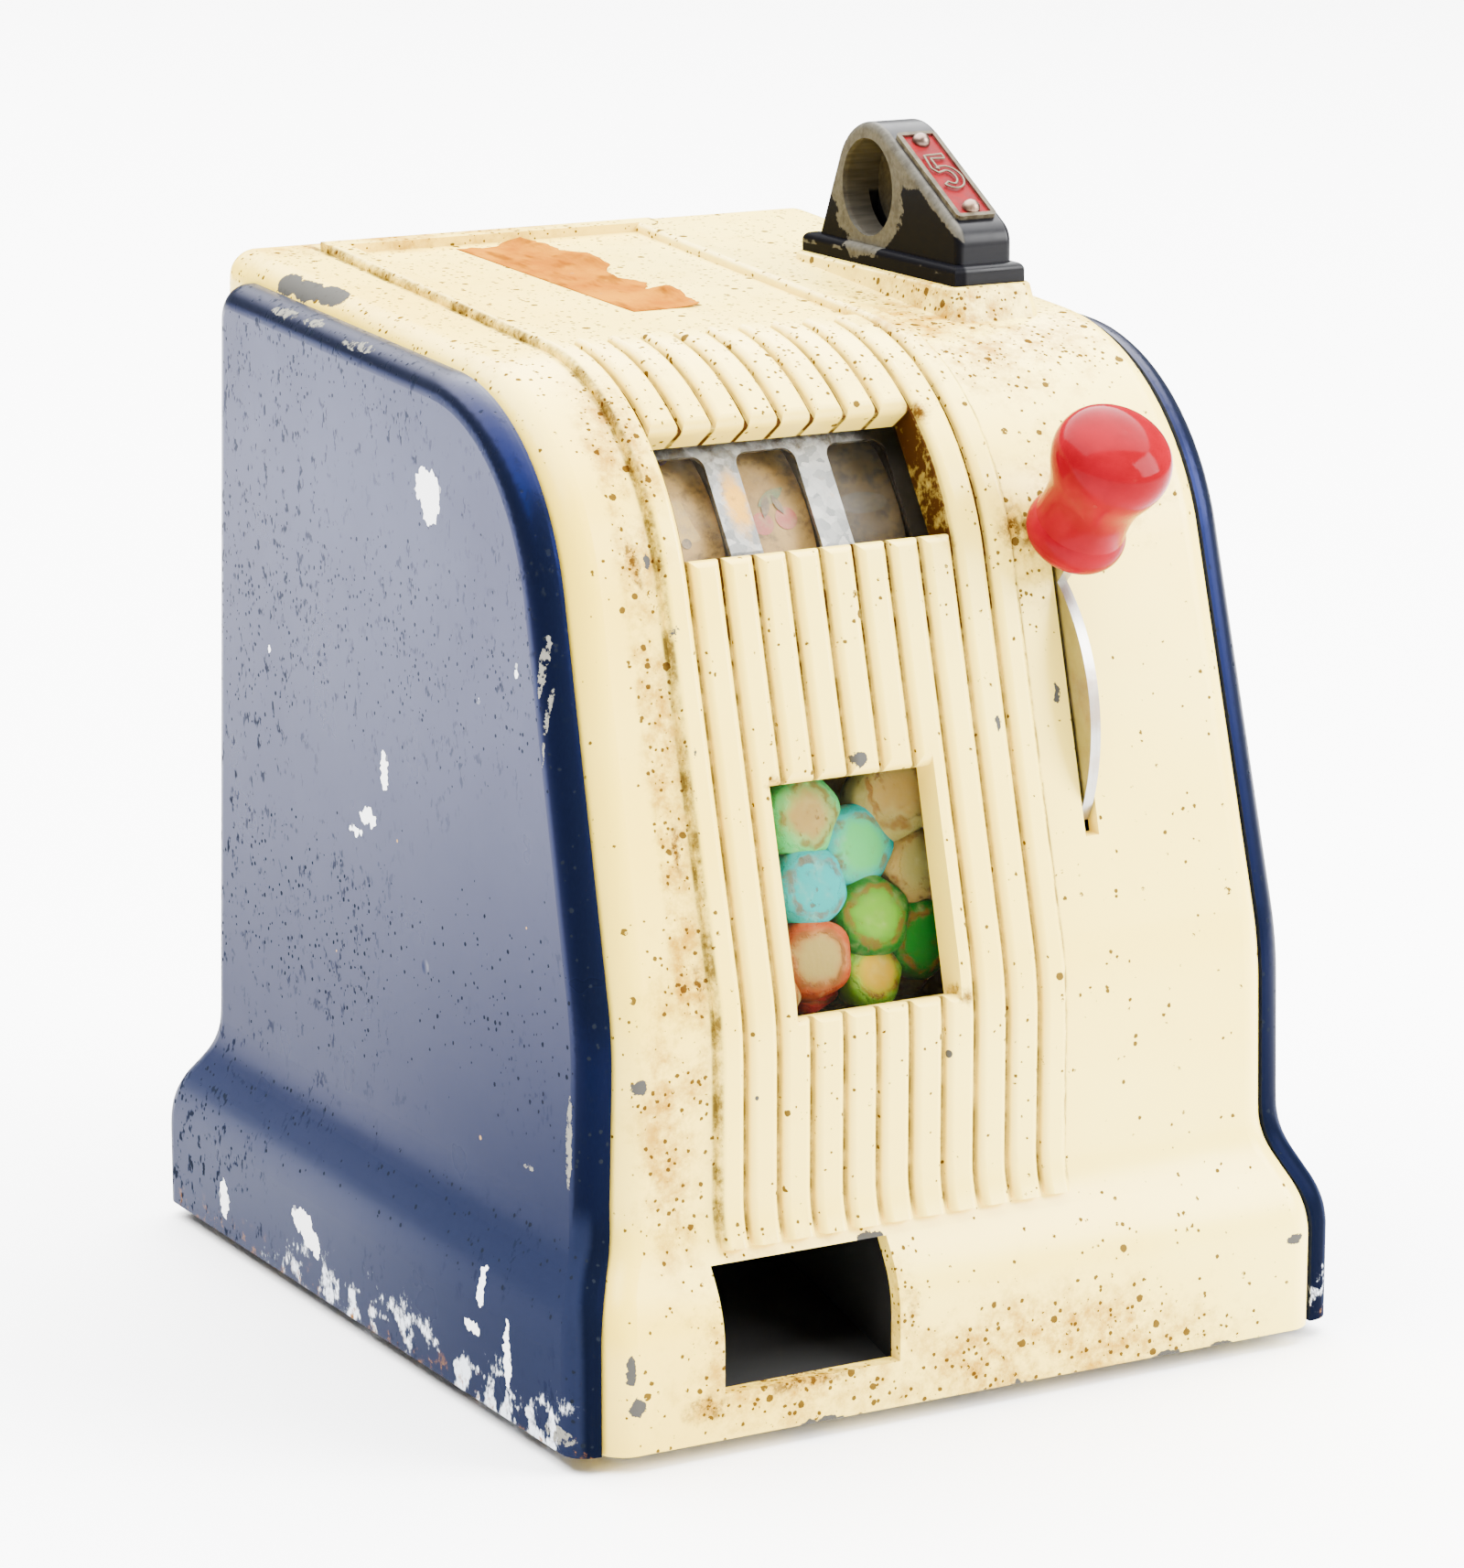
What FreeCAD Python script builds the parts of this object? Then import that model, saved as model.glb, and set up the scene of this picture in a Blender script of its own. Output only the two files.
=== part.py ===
import FreeCAD, Part
import math
import os
import re
import Sketcher
from FreeCAD import Placement, Rotation, Vector

doc = FreeCAD.newDocument("gum_machine")
sheet = doc.addObject("Spreadsheet::Sheet", "Sizes")

# Driving sizes in millimetres and degrees; heights are above the floor, y grows to the rear
SIZES = [
    ("foot_height", 4.0, "floor to the lower edge of the cabinet"),
    ("base_width", 200.0, "cabinet width over both side panels at the skirt"),
    ("base_depth", 222.0, "cabinet depth at the skirt"),
    ("skirt_low", 32.0, "height where the skirt starts to step in"),
    ("skirt_high", 48.0, "height where the skirt has stepped in"),
    ("skirt_radius", 25.0, "radius of both bends of the skirt"),
    ("skirt_side", 7.5, "step of the skirt at each side"),
    ("skirt_front", 10.4, "step of the skirt at the front"),
    ("skirt_rear", 14.5, "step of the skirt at the rear"),
    ("side_draft", 1.35, "lean of each side wall, degrees"),
    ("front_lean", 15.0, "lean of the upper front, degrees"),
    ("bend_height", 94.0, "height where the front starts to lean"),
    ("bend_radius", 70.0, "radius of that bend"),
    ("brow_radius", 60.0, "radius between the front and the top"),
    ("top_slope", 4.0, "rise of the top towards the rear, degrees"),
    ("top_height", 241.0, "height of the top at its rear edge"),
    ("lip_inset", 3.0, "rear lip of the top ahead of the skirt's rear"),
    ("lip_drop", 12.0, "height of the rear lip"),
    ("lip_radius", 6.0, "rounding of the rear lip"),
    ("casting_wall", 4.0, "wall of the front casting"),
    ("flange_depth", 14.0, "depth of the casting's side flanges"),
    ("edge_roll", 7.0, "rounding along the casting's side edges"),
    ("panel_proud", 7.0, "side panel stands this far out of the casting"),
    ("panel_inset", 3.5, "side panel's outline inside the casting's"),
    ("panel_slope", 3.0, "rise of the side panel's top edge, degrees"),
    ("panel_height", 235.0, "height of the side panel at its rear edge"),
    ("panel_corner", 9.0, "upper rear corner of the side panel"),
    ("panel_roll", 6.0, "rounding along the side panel's edge"),
    ("panel_wall", 2.6, "wall of the pressed panels"),
    ("fit_gap", 0.15, "clearance between fitted pieces"),
    ("run_gap", 0.06, "radial clearance of a running fit"),
    ("rib_height", 2.2, "height of the reeds over the casting"),
    ("rib_pitch", 8.4, "spacing of the reeds"),
    ("rib_groove", 1.3, "groove between two reeds"),
    ("rib_round", 1.7, "rounding of each reed"),
    ("rib_start", -54.0, "x of the first groove"),
    ("rib_edge", 7.0, "width of the two outermost reeds"),
    ("rib_foot", 45.0, "height where the reeds start"),
    ("rib_end", -22.0, "y where the inner reeds end on the top"),
    ("card_rear", 94.0, "y of the bar behind the card panel"),
    ("card_bar", 5.0, "width of that bar"),
    ("valley_radius", 8.0, "radius of the hollow beside the reeds"),
    ("valley_depth", 1.6, "depth of that hollow"),
    ("valley_left", 6.2, "left hollow's distance from the reeds"),
    ("valley_right", 4.5, "right hollow's distance from the reeds"),
    ("reel_window_height", 204.5, "height of the reel window's middle"),
    ("reel_window_long", 30.0, "reel window along the slope"),
    ("reel_window_deep", 9.5, "recess of the reel window's frame"),
    ("gum_window_height", 118.5, "height of the gum window's middle"),
    ("gum_window_long", 51.0, "gum window along the slope"),
    ("gum_window_deep", 8.0, "recess of the gum window's frame"),
    ("frame_rim", 9.0, "rim of a window frame around its opening"),
    ("pane_lap", 3.0, "lap of a pane behind its frame"),
    ("pane_thick", 2.4, "thickness of a window pane"),
    ("lip_round", 3.0, "rounding of a window's upper and lower edge"),
    ("outlet_middle", -42.2, "x of the gum outlet's middle"),
    ("outlet_width", 44.6, "gum outlet width"),
    ("outlet_bottom", 14.5, "height of the gum outlet's sill"),
    ("outlet_top", 42.0, "height of the gum outlet's upper edge"),
    ("lever_x", 40.7, "x of the lever plate's middle"),
    ("lever_back", 62.6, "lever's pivot behind the skirt's front"),
    ("lever_z", 146.0, "height of the lever's pivot"),
    ("lever_thick", 2.6, "thickness of the lever plate"),
    ("slot_gap", 0.5, "clearance each side of the lever in its slot"),
    ("slot_bottom", 123.5, "lower end of the lever slot"),
    ("slot_top", 192.0, "upper end of the lever slot"),
    ("coin_x", 55.5, "x of the coin head's middle"),
    ("coin_front", -22.6, "y of the coin head's front end"),
    ("coin_rear", 48.0, "y of the coin head's rear end"),
    ("coin_width", 19.0, "width of the coin head's foot"),
    ("pad_rise", 1.7, "coin pad over the top at its rear end"),
    ("pad_border", 2.0, "border of the coin pad around the coin head"),
    ("pad_run", 5.0, "run of the coin pad's sloping sides"),
    ("coin_bore", 23.2, "diameter of the coin hole"),
    ("coin_bore_y", 20.8, "y of the coin hole"),
    ("coin_bore_up", 18.3, "height of the coin hole over the pad"),
    ("coin_bore_deep", 12.0, "depth of the coin hole"),
    ("coin_slot", 2.8, "width of the coin slot"),
    ("screw_radius", 1.8, "radius of the fixing screws"),
    ("screw_head", 3.4, "head radius of the fixing screws"),
    ("head_tall", 2.2, "head height of the fixing screws"),
    ("screw_bite", 6.0, "length of thread in its hole"),
    ("coin_body", 15.0, "width of the coin head above its foot"),
    ("coin_foot", 4.6, "height of the coin head's foot"),
    ("coin_rim", 3.8, "metal round the coin hole"),
    ("nose_round", 6.0, "rounding of the coin head's nose"),
    ("coin_soft", 1.8, "rounding of the coin head's edges"),
    ("plate_slope", 30.0, "slope of the price plate, degrees"),
    ("sign_wide", 10.8, "width of the price plate"),
    ("sign_long", 33.0, "length of the price plate"),
    ("sign_thick", 1.2, "thickness of the price plate"),
    ("sign_border", 1.2, "raised border of the price plate"),
    ("rivet_radius", 2.2, "radius of the price plate's rivets"),
    ("door_width", 120.0, "width of the rear door"),
    ("door_height", 140.0, "height of the rear door"),
    ("door_bottom", 60.0, "height of the rear door's lower edge"),
    ("door_gap", 0.6, "gap round the rear door"),
    ("hinge_radius", 3.5, "radius of the hinge knuckles"),
    ("strap_thick", 1.6, "thickness of the hinge straps"),
    ("strap_long", 16.0, "reach of the hinge straps"),
    ("pin_radius", 1.5, "radius of the hinge pin"),
    ("lock_radius", 8.0, "radius of the lock barrel"),
    ("lock_rim", 2.0, "rim of the lock barrel"),
    ("lock_deep", 6.0, "depth of the lock barrel behind the door"),
    ("lock_inset", 16.0, "lock's distance from the door's edge"),
    ("plug_radius", 5.0, "radius of the lock's plug"),
    ("cam_thick", 2.0, "thickness of the lock's cam"),
    ("cam_long", 22.0, "reach of the lock's cam"),
    ("key_wide", 1.6, "width of the key slot"),
    ("base_thick", 2.0, "thickness of the base plate"),
    ("foot_radius", 9.0, "radius of a rubber foot at the floor"),
    ("foot_well", 2.8, "depth of the screw's recess in a foot"),
    ("foot_inset", 16.0, "feet's distance from the base plate's edges"),
    ("nut_tall", 3.0, "height of the nuts on the feet's screws"),
    ("mask_thick", 1.0, "thickness of the reel mask"),
    ("mask_open", 15.2, "width of an opening in the reel mask"),
    ("mask_border", 1.5, "border above and below those openings"),
    ("mask_corner", 3.0, "corner radius of those openings"),
    ("reel_pitch", 23.3, "spacing of the reels"),
    ("reel_gap", 3.0, "reels behind the mask"),
    ("reel_radius", 40.0, "radius over a reel's strip"),
    ("reel_wide", 18.0, "width of a reel"),
    ("reel_rim", 2.0, "thickness of a reel's rim"),
    ("reel_web", 2.4, "thickness of a reel's web"),
    ("reel_side_gap", 0.6, "hub's end beside the rim"),
    ("strip_thick", 0.4, "thickness of a printed strip"),
    ("hub_radius", 7.0, "radius of a reel's hub"),
    ("axle_radius", 3.0, "radius of the reel, pawl and gum shafts"),
    ("stops", 12, "stops round a reel"),
    ("stop_radius", 20.0, "radius of a stop wheel"),
    ("stop_thick", 2.5, "thickness of a stop wheel"),
    ("notch_ring", 20.6, "radius of the ring of notches"),
    ("notch_radius", 2.6, "radius of a notch"),
    ("nose_gap", 0.6, "play of a pawl's nose in its notch"),
    ("pawl_long", 62.0, "length of a stop pawl"),
    ("pawl_lift", 2.8, "lift of a pawl's nose at rest"),
    ("pawl_drop", 3.2, "pawl's arm below its nose"),
    ("pawl_thick", 2.0, "thickness of a stop pawl"),
    ("pawl_hub", 5.0, "radius of a pawl's hub"),
    ("plate_thick", 2.0, "thickness of plates, cranks and link"),
    ("plate_margin", 14.0, "metal of a plate round its shafts"),
    ("foot_reach", 10.0, "reach of a plate's foot"),
    ("frame_left", 23.3, "left plate's distance from the left reel"),
    ("frame_right", 14.1, "right plate's distance from the right reel"),
    ("shaft_over", 1.5, "length of a shaft past its plate"),
    ("spacer_radius", 5.0, "radius of the spacers on the shafts"),
    ("end_play", 0.3, "end play of the reels, pawls and wheel"),
    ("bracket_reach", 15.3, "lever bracket's distance from the lever"),
    ("tie_radius", 4.0, "radius of the tie rods"),
    ("bush_radius", 6.0, "radius of the lever bushes"),
    ("bush_flange", 1.5, "thickness of a bush's flange"),
    ("lever_axle", 4.0, "radius of the lever shaft"),
    ("lever_hub", 9.0, "radius of the lever plate round its shaft"),
    ("lever_rest", 52.3, "angle of the lever at rest, degrees over the level"),
    ("sector_low", -26.0, "lower end of the lever's sector, degrees"),
    ("sector_high", 62.0, "upper end of the lever's sector, degrees"),
    ("sector_radius", 45.0, "radius of the lever's sector"),
    ("tang_half", 4.2, "half width of the lever's tang"),
    ("arm_long", 24.0, "length of the lever's spring arm"),
    ("knob_seat", 54.2, "knob's distance from the lever's pivot"),
    ("knob_radius", 13.8, "radius of the knob's head"),
    ("knob_long", 36.2, "length of the knob"),
    ("knob_bore", 26.0, "depth of the knob's bore"),
    ("stud_thread", 4.0, "radius of the knob's stud"),
    ("stud_radius", 2.0, "radius of pins and studs"),
    ("stud_long", 10.6, "length of the spring stud"),
    ("crank_offset", 7.0, "cranks' distance from the right plate"),
    ("crank_long", 18.0, "length of the cranks"),
    ("crank_rest", 36.0, "angle of the cranks at rest below the level, degrees"),
    ("link_half", 4.0, "half width of the link rod"),
    ("link_gap", 0.5, "gap between cranks and link rod"),
    ("spring_long", 62.0, "distance between the spring's ends"),
    ("coil_radius", 4.0, "radius of the spring's coils"),
    ("coil_pitch", 3.0, "pitch of the spring's coils"),
    ("wire_radius", 0.5, "radius of the spring's wire"),
    ("tin", 1.2, "thickness of the sheet-metal pieces"),
    ("hopper_half", 33.4, "half the hopper's inner width"),
    ("hopper_side", 7.5, "extra rim at the gum window's sides, for the hopper"),
    ("hopper_deep", 36.0, "depth of the hopper behind its window"),
    ("hopper_floor", 27.0, "hopper's floor below the window's middle"),
    ("throat", 19.0, "hopper's outlet"),
    ("ball_radius", 8.0, "radius of a gumball"),
    ("wheel_radius", 20.0, "radius of the gum wheel"),
    ("wheel_wide", 18.0, "width of the gum wheel"),
    ("wheel_gap", 1.5, "gap round the gum wheel"),
    ("scoops", 5, "pockets of the gum wheel"),
    ("scoop_radius", 8.6, "radius of a pocket"),
    ("chute_gap", 0.3, "chute's distance from the casting"),
    ("chute_long", 52.0, "length of the gum chute"),
    ("chute_slope", 13.5, "slope of the gum chute, degrees"),
    ("cash_left", 26.0, "x of the cash box's left wall"),
    ("cash_wide", 54.0, "width of the cash box"),
    ("cash_back", 25.0, "cash box's distance from the skirt's rear"),
    ("cash_gap", 9.4, "cash box's distance from the lever bracket"),
    ("cash_high", 54.0, "height of the cash box"),
]

for row, (alias, value, words) in enumerate(SIZES, start=1):
    sheet.set(f"A{row}", words)
    sheet.set(f"B{row}", str(value))
    sheet.setAlias(f"B{row}", alias)
doc.recompute()


class Sizes:
    """Reads a size from the sheet by its alias."""

    def __getattr__(self, alias):
        return float(sheet.get(alias))


s = Sizes()
ALIASES = {alias for alias, _, _ in SIZES}
PIECES = []
FAR = 400.0
TURN_TO = {
    "x": Rotation(Vector(0, 0, 1), Vector(1, 0, 0)),
    "y": Rotation(Vector(0, 0, 1), Vector(0, 1, 0)),
    "z": Rotation(),
    "-x": Rotation(Vector(0, 0, 1), Vector(-1, 0, 0)),
}


# Helpers: bound primitives and booleans
def bind(obj, prop, text):
    """Binds a property to an expression written with bare aliases, or sets a number."""
    if not isinstance(text, str):
        setattr(obj, prop, text)
        return
    named = re.sub(r"[a-z][a-z_]+", lambda m: f"Sizes.{m[0]}" if m[0] in ALIASES else m[0], text)
    obj.setExpression(prop, named)


def place(obj, where, turn=None):
    """Puts an object at three coordinates; those given as text are bound."""
    numbers = [0.0 if isinstance(v, str) else v for v in where]
    obj.Placement = Placement(Vector(*numbers), turn or obj.Placement.Rotation)
    for axis, value in zip("xyz", where):
        if isinstance(value, str):
            bind(obj, f"Placement.Base.{axis}", value)
    return obj


def piece(obj, label):
    """Marks a finished sub-part and gives it its file name."""
    obj.Label = label
    PIECES.append(obj)
    return obj


def box(name, lengths, corner):
    """A block with bound edge lengths and its low corner given."""
    obj = doc.addObject("Part::Box", name)
    for prop, text in zip(("Length", "Width", "Height"), lengths):
        bind(obj, prop, text)
    return place(obj, corner)


def rod(name, radius, length, start, along="x"):
    """A cylinder with bound radius and length along x, y or z."""
    obj = doc.addObject("Part::Cylinder", name)
    bind(obj, "Radius", radius)
    bind(obj, "Height", length)
    return place(obj, start, TURN_TO[along])


def fuse(name, parts):
    obj = doc.addObject("Part::MultiFuse", name)
    obj.Shapes = list(parts)
    return obj


def group(name, parts):
    obj = doc.addObject("Part::Compound", name)
    obj.Links = list(parts)
    return obj


def cut(name, base, tools):
    obj = doc.addObject("Part::Cut", name)
    obj.Base = base
    obj.Tool = tools[0] if len(tools) == 1 else group(f"{name}_tools", tools)
    return obj


def formed(name, shape):
    """A piece whose shape is made by the functions below from the sheet's sizes."""
    obj = doc.addObject("Part::Feature", name)
    obj.Shape = shape
    obj.Placement = shape.Placement
    return obj


# Helpers: outlines of straight runs and tangent arcs
def side_view(y, z):
    return Vector(0, y, z)


def front_view(x, z):
    return Vector(x, 0, z)


def outline(corners, view, inset=0.0, closed=True):
    """Wire around (a, b, radius) corners, run counter-clockwise and moved inwards by inset."""
    count = len(corners)
    runs = []
    for (a0, b0, _), (a1, b1, _) in zip(corners, corners[1:] + corners[:1]):
        length = math.hypot(a1 - a0, b1 - b0)
        da, db = (a1 - a0) / length, (b1 - b0) / length
        runs.append((a0 - db * inset, b0 + da * inset, da, db))
    joints = []
    for i in range(count):
        a0, b0, da, db = runs[i - 1]
        a1, b1, ea, eb = runs[i]
        turn = da * eb - db * ea
        reach = ((a1 - a0) * eb - (b1 - b0) * ea) / turn
        a, b = a0 + da * reach, b0 + db * reach
        radius = corners[i][2]
        if radius > 0:
            radius = max(radius - inset if turn > 0 else radius + inset, 0.0)
        half = abs(math.atan2(turn, da * ea + db * eb)) / 2
        back = radius * math.tan(half)
        bulge = radius / math.cos(half) - radius
        ba, bb = ea - da, eb - db
        bend = math.hypot(ba, bb)
        joints.append((
            view(a - da * back, b - db * back),
            view(a + ba / bend * bulge, b + bb / bend * bulge),
            view(a + ea * back, b + eb * back),
            radius,
        ))
    edges = []
    last = count if closed else count - 1
    for i in range(0 if closed else 1, last):
        start, middle, end, radius = joints[i]
        if radius > 0:
            edges.append(Part.Arc(start, middle, end).toShape())
        following = joints[(i + 1) % count][0]
        if (closed or i < last - 1) and end.distanceToPoint(following) > 1e-6:
            edges.append(Part.LineSegment(end, following).toShape())
    return Part.Wire(edges)


def prism(corners, view, start, length, inset=0.0):
    """Solid of an outline, drawn out square to its view."""
    normal = Vector(1, 0, 0) if view is side_view else Vector(0, 1, 0)
    face = Part.Face(outline(corners, view, inset))
    face.translate(normal * start)
    return face.extrude(normal * length)


def block(x, y, z):
    """Solid block from three (low, high) pairs."""
    return Part.makeBox(x[1] - x[0], y[1] - y[0], z[1] - z[0], Vector(x[0], y[0], z[0]))


def tan(degrees):
    return math.tan(math.radians(degrees))


# Cabinet outline: side view of the casting and of the side panels, front view of both
HALF_DEPTH = s.base_depth / 2
CASTING_HALF = s.base_width / 2 - s.panel_proud
FRONT_Y = -HALF_DEPTH + s.skirt_front
REAR_Y = HALF_DEPTH - s.skirt_rear
LIP_Y = HALF_DEPTH - s.lip_inset
LEVER_Y = s.lever_back - HALF_DEPTH
LEVER_PLACE = ("lever_back - base_depth / 2", "lever_z")


def top_z(y):
    """Height of the casting's top at y."""
    return s.top_height + (y - LIP_Y) * tan(s.top_slope)


def front_line(z):
    """y of the straight leaning front at height z, before its bends."""
    return FRONT_Y + (z - s.bend_height) * tan(s.front_lean)


def half_width(z):
    """Half the casting's width at height z, above the skirt."""
    return CASTING_HALF - s.skirt_side - (z - s.skirt_high) * tan(s.side_draft)


def crossing(inset, slope, level, at):
    """Where the leaning front, moved in by inset, meets a line rising at slope through (at, level)."""
    lean, rise = tan(s.front_lean), tan(slope)
    start = front_line(0) + inset / math.cos(math.radians(s.front_lean))
    z = (level + (start - at) * rise) / (1 - lean * rise)
    return start + z * lean, z


def casting_corners(bottom):
    """Side view of the casting, from its lower front corner round the rear to the skirt."""
    brow = crossing(0, s.top_slope, s.top_height, LIP_Y)
    return [
        (-HALF_DEPTH, bottom, 0),
        (LIP_Y, bottom, 0),
        (LIP_Y, s.top_height, s.lip_radius),
        (*brow, s.brow_radius),
        (FRONT_Y, s.bend_height, s.bend_radius),
        (FRONT_Y, s.skirt_high, s.skirt_radius),
        (-HALF_DEPTH, s.skirt_low, s.skirt_radius),
    ]


def panel_corners(bottom):
    """Side view of a side panel."""
    inset = s.panel_inset
    brow = crossing(inset, s.panel_slope, s.panel_height, REAR_Y)
    bend = s.bend_height - inset * tan(s.front_lean / 2)
    return [
        (-HALF_DEPTH + inset, bottom, 0),
        (HALF_DEPTH, bottom, 0),
        (HALF_DEPTH, s.skirt_low, s.skirt_radius),
        (REAR_Y, s.skirt_high, s.skirt_radius),
        (REAR_Y, s.panel_height, s.panel_corner),
        (*brow, s.brow_radius - inset),
        (FRONT_Y + inset, bend, s.bend_radius - inset),
        (FRONT_Y + inset, s.skirt_high, s.skirt_radius + inset),
        (-HALF_DEPTH + inset, s.skirt_low, s.skirt_radius - inset),
    ]


def width_corners(extra, bottom):
    """Front view of the cabinet, widened by extra on each side."""
    high = s.top_height + s.skirt_high
    base, waist, top = CASTING_HALF + extra, half_width(s.skirt_high) + extra, half_width(high) + extra
    return [
        (-base, bottom, 0),
        (base, bottom, 0),
        (base, s.skirt_low, s.skirt_radius),
        (waist, s.skirt_high, s.skirt_radius),
        (top, high, 0),
        (-top, high, 0),
        (-waist, s.skirt_high, s.skirt_radius),
        (-base, s.skirt_low, s.skirt_radius),
    ]


def envelope(corners, extra, bottom, side_inset=0.0):
    """Solid that has the given side view and the cabinet's front view."""
    side = prism(corners, side_view, -FAR / 2, FAR, side_inset)
    return side.common(prism(width_corners(extra, bottom), front_view, -FAR / 2, FAR)).Solids[0]


def rolled(solid, radius, bottom):
    """Rounds the edges that run round a solid's flanks, but not its lower ones."""
    inner = half_width(s.top_height + s.skirt_high)
    edges = []
    for edge in solid.Edges:
        middle = edge.valueAt(sum(edge.ParameterRange) / 2)
        if abs(middle.x) > inner and middle.z > bottom + s.fit_gap:
            edges.append(edge)
    return solid.makeFillet(radius, edges)


# Front casting: reeds, windows, outlet, lever slot and coin pad
BOTTOM = s.foot_height
CASTING = casting_corners(BOTTOM)
GROOVES = 10
WINDOW_X = s.rib_start + s.rib_pitch * 4
REEL_WINDOW_WIDE = s.rib_pitch * 8
GUM_WINDOW_WIDE = s.rib_pitch * 5
SLOT_HALF = s.lever_thick / 2 + s.slot_gap
PAD_LEVEL = top_z(s.coin_rear) + s.pad_rise
COIN_SLOT_X = s.coin_x - s.coin_width / 2 + s.coin_bore_deep


def front_y(z):
    """y of the casting's front at height z, bends included."""
    level = Part.makeLine(Vector(0, -FAR, z), Vector(0, 0, z))
    hits = outline(CASTING, side_view).distToShape(level)[1]
    return min(pair[0].y for pair in hits)


class Window:
    """A window's own frame: x along the cabinet, depth inwards, rise up along the slope."""

    def __init__(self, height, wide, long, deep, side):
        reach = long / 2 * math.cos(math.radians(s.front_lean))
        low, high = front_y(height - reach), front_y(height + reach)
        self.tilt = math.degrees(math.atan2(high - low, 2 * reach))
        self.turn = Rotation(Vector(1, 0, 0), -self.tilt)
        self.origin = Vector(WINDOW_X, (low + high) / 2, height)
        self.wide, self.long, self.deep, self.side = wide, long, deep, side

    def point(self, x, depth, rise):
        return self.origin + self.turn.multVec(Vector(x, depth, rise))

    def set_down(self, shape):
        shape.Placement = Placement(self.origin, self.turn)
        return shape

    def block(self, border, near, far):
        """Block over the window and a border round it, between two depths."""
        x, rise = self.wide / 2 + border, self.long / 2 + border
        return self.set_down(block((-x, x), (near, far), (-rise, rise)))

    def rim(self, border, near, far):
        """Block over the window and its frame, which is wider at the sides where the hopper is."""
        x, rise = self.wide / 2 + border + self.side, self.long / 2 + border
        return self.set_down(block((-x, x), (near, far), (-rise, rise)))

    def mouth(self):
        """Opening with rounded upper and lower lips."""
        half, lip, near = self.long / 2, s.lip_round, -s.rib_height
        away, far = -FAR / 8, self.deep + s.casting_wall
        bend = lip * (1 - math.sqrt(0.5))
        edges = []
        for side in (1, -1):
            outer, rim = Vector(0, away, side * (half + lip)), Vector(0, near, side * (half + lip))
            edges.append(Part.makeLine(outer, rim))
            edges.append(Part.Arc(
                rim,
                Vector(0, near + bend, side * (half + bend)),
                Vector(0, near + lip, side * half),
            ).toShape())
            edges.append(Part.makeLine(Vector(0, near + lip, side * half), Vector(0, far, side * half)))
        edges.append(Part.makeLine(Vector(0, far, half), Vector(0, far, -half)))
        edges.append(Part.makeLine(Vector(0, away, half + lip), Vector(0, away, -half - lip)))
        face = Part.Face(Part.Wire(Part.__sortEdges__(edges)))
        face.translate(Vector(-self.wide / 2, 0, 0))
        return self.set_down(face.extrude(Vector(self.wide, 0, 0)))

    def fixing_points(self):
        """Four screw points in the rim above and below the pane."""
        x = self.wide / 2 - s.screw_head
        rise = self.long / 2 + s.pane_lap + s.screw_head
        return [(i * x, j * rise) for i in (-1, 1) for j in (-1, 1)]

    def bored(self, radius, near, far):
        """Rods through the four screw points."""
        rods = [Part.makeCylinder(radius, far - near, Vector(x, near, z), Vector(0, 1, 0))
                for x, z in self.fixing_points()]
        return [self.set_down_rod(r) for r in rods]

    def set_down_rod(self, shape):
        shape.Placement = Placement(self.origin, self.turn).multiply(shape.Placement)
        return shape


REEL_WINDOW = Window(s.reel_window_height, REEL_WINDOW_WIDE, s.reel_window_long, s.reel_window_deep, 0)
GUM_WINDOW = Window(
    s.gum_window_height, GUM_WINDOW_WIDE, s.gum_window_long, s.gum_window_deep, s.hopper_side
)


def reeds():
    """Rounded reeds over the front, the two outermost ones running on to the rear bar."""
    edge = s.rib_groove / 2
    grooves = [s.rib_start + s.rib_pitch * i for i in range(GROOVES)]
    starts = [grooves[0] - s.rib_edge] + [x + edge for x in grooves]
    ends = [x - edge for x in grooves] + [grooves[-1] + s.rib_edge]
    solids = []
    for i, (low, high) in enumerate(zip(starts, ends)):
        reed = prism(CASTING, side_view, low, high - low, -s.rib_height)
        long_edges = [e for e in reed.Edges if not across(e)]
        reed = reed.makeFillet(s.rib_round, long_edges)
        end = s.card_rear if i in (0, GROOVES) else s.rib_end
        solids.append(reed.common(block((low, high), (-FAR, end), (s.rib_foot, FAR))))
    bar = prism(CASTING, side_view, starts[0], ends[-1] - starts[0], -s.rib_height)
    keep = block((-FAR, FAR), (s.card_rear - s.card_bar, s.card_rear), (s.rib_foot, FAR))
    return solids + [bar.common(keep)]


def across(edge):
    """True for an edge that runs along x or lies at the outline's lower and rear sides."""
    box_of = edge.BoundBox
    low_or_rear = box_of.ZMax < BOTTOM + s.rib_height or box_of.YMin > LIP_Y - s.lip_radius * 2
    return box_of.XLength > s.fit_gap or low_or_rear


def valley(x):
    """Round hollow that runs up the front and over the top at x."""
    lift = s.valley_radius - s.valley_depth
    path = outline(CASTING[1:6], side_view, -lift, closed=False)
    path.translate(Vector(x, 0, 0))
    start = path.OrderedVertexes[0].Point
    ring = Part.Wire(Part.makeCircle(s.valley_radius, start, Vector(0, 1, 0)))
    return path.makePipeShell([ring], True, False)


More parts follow.
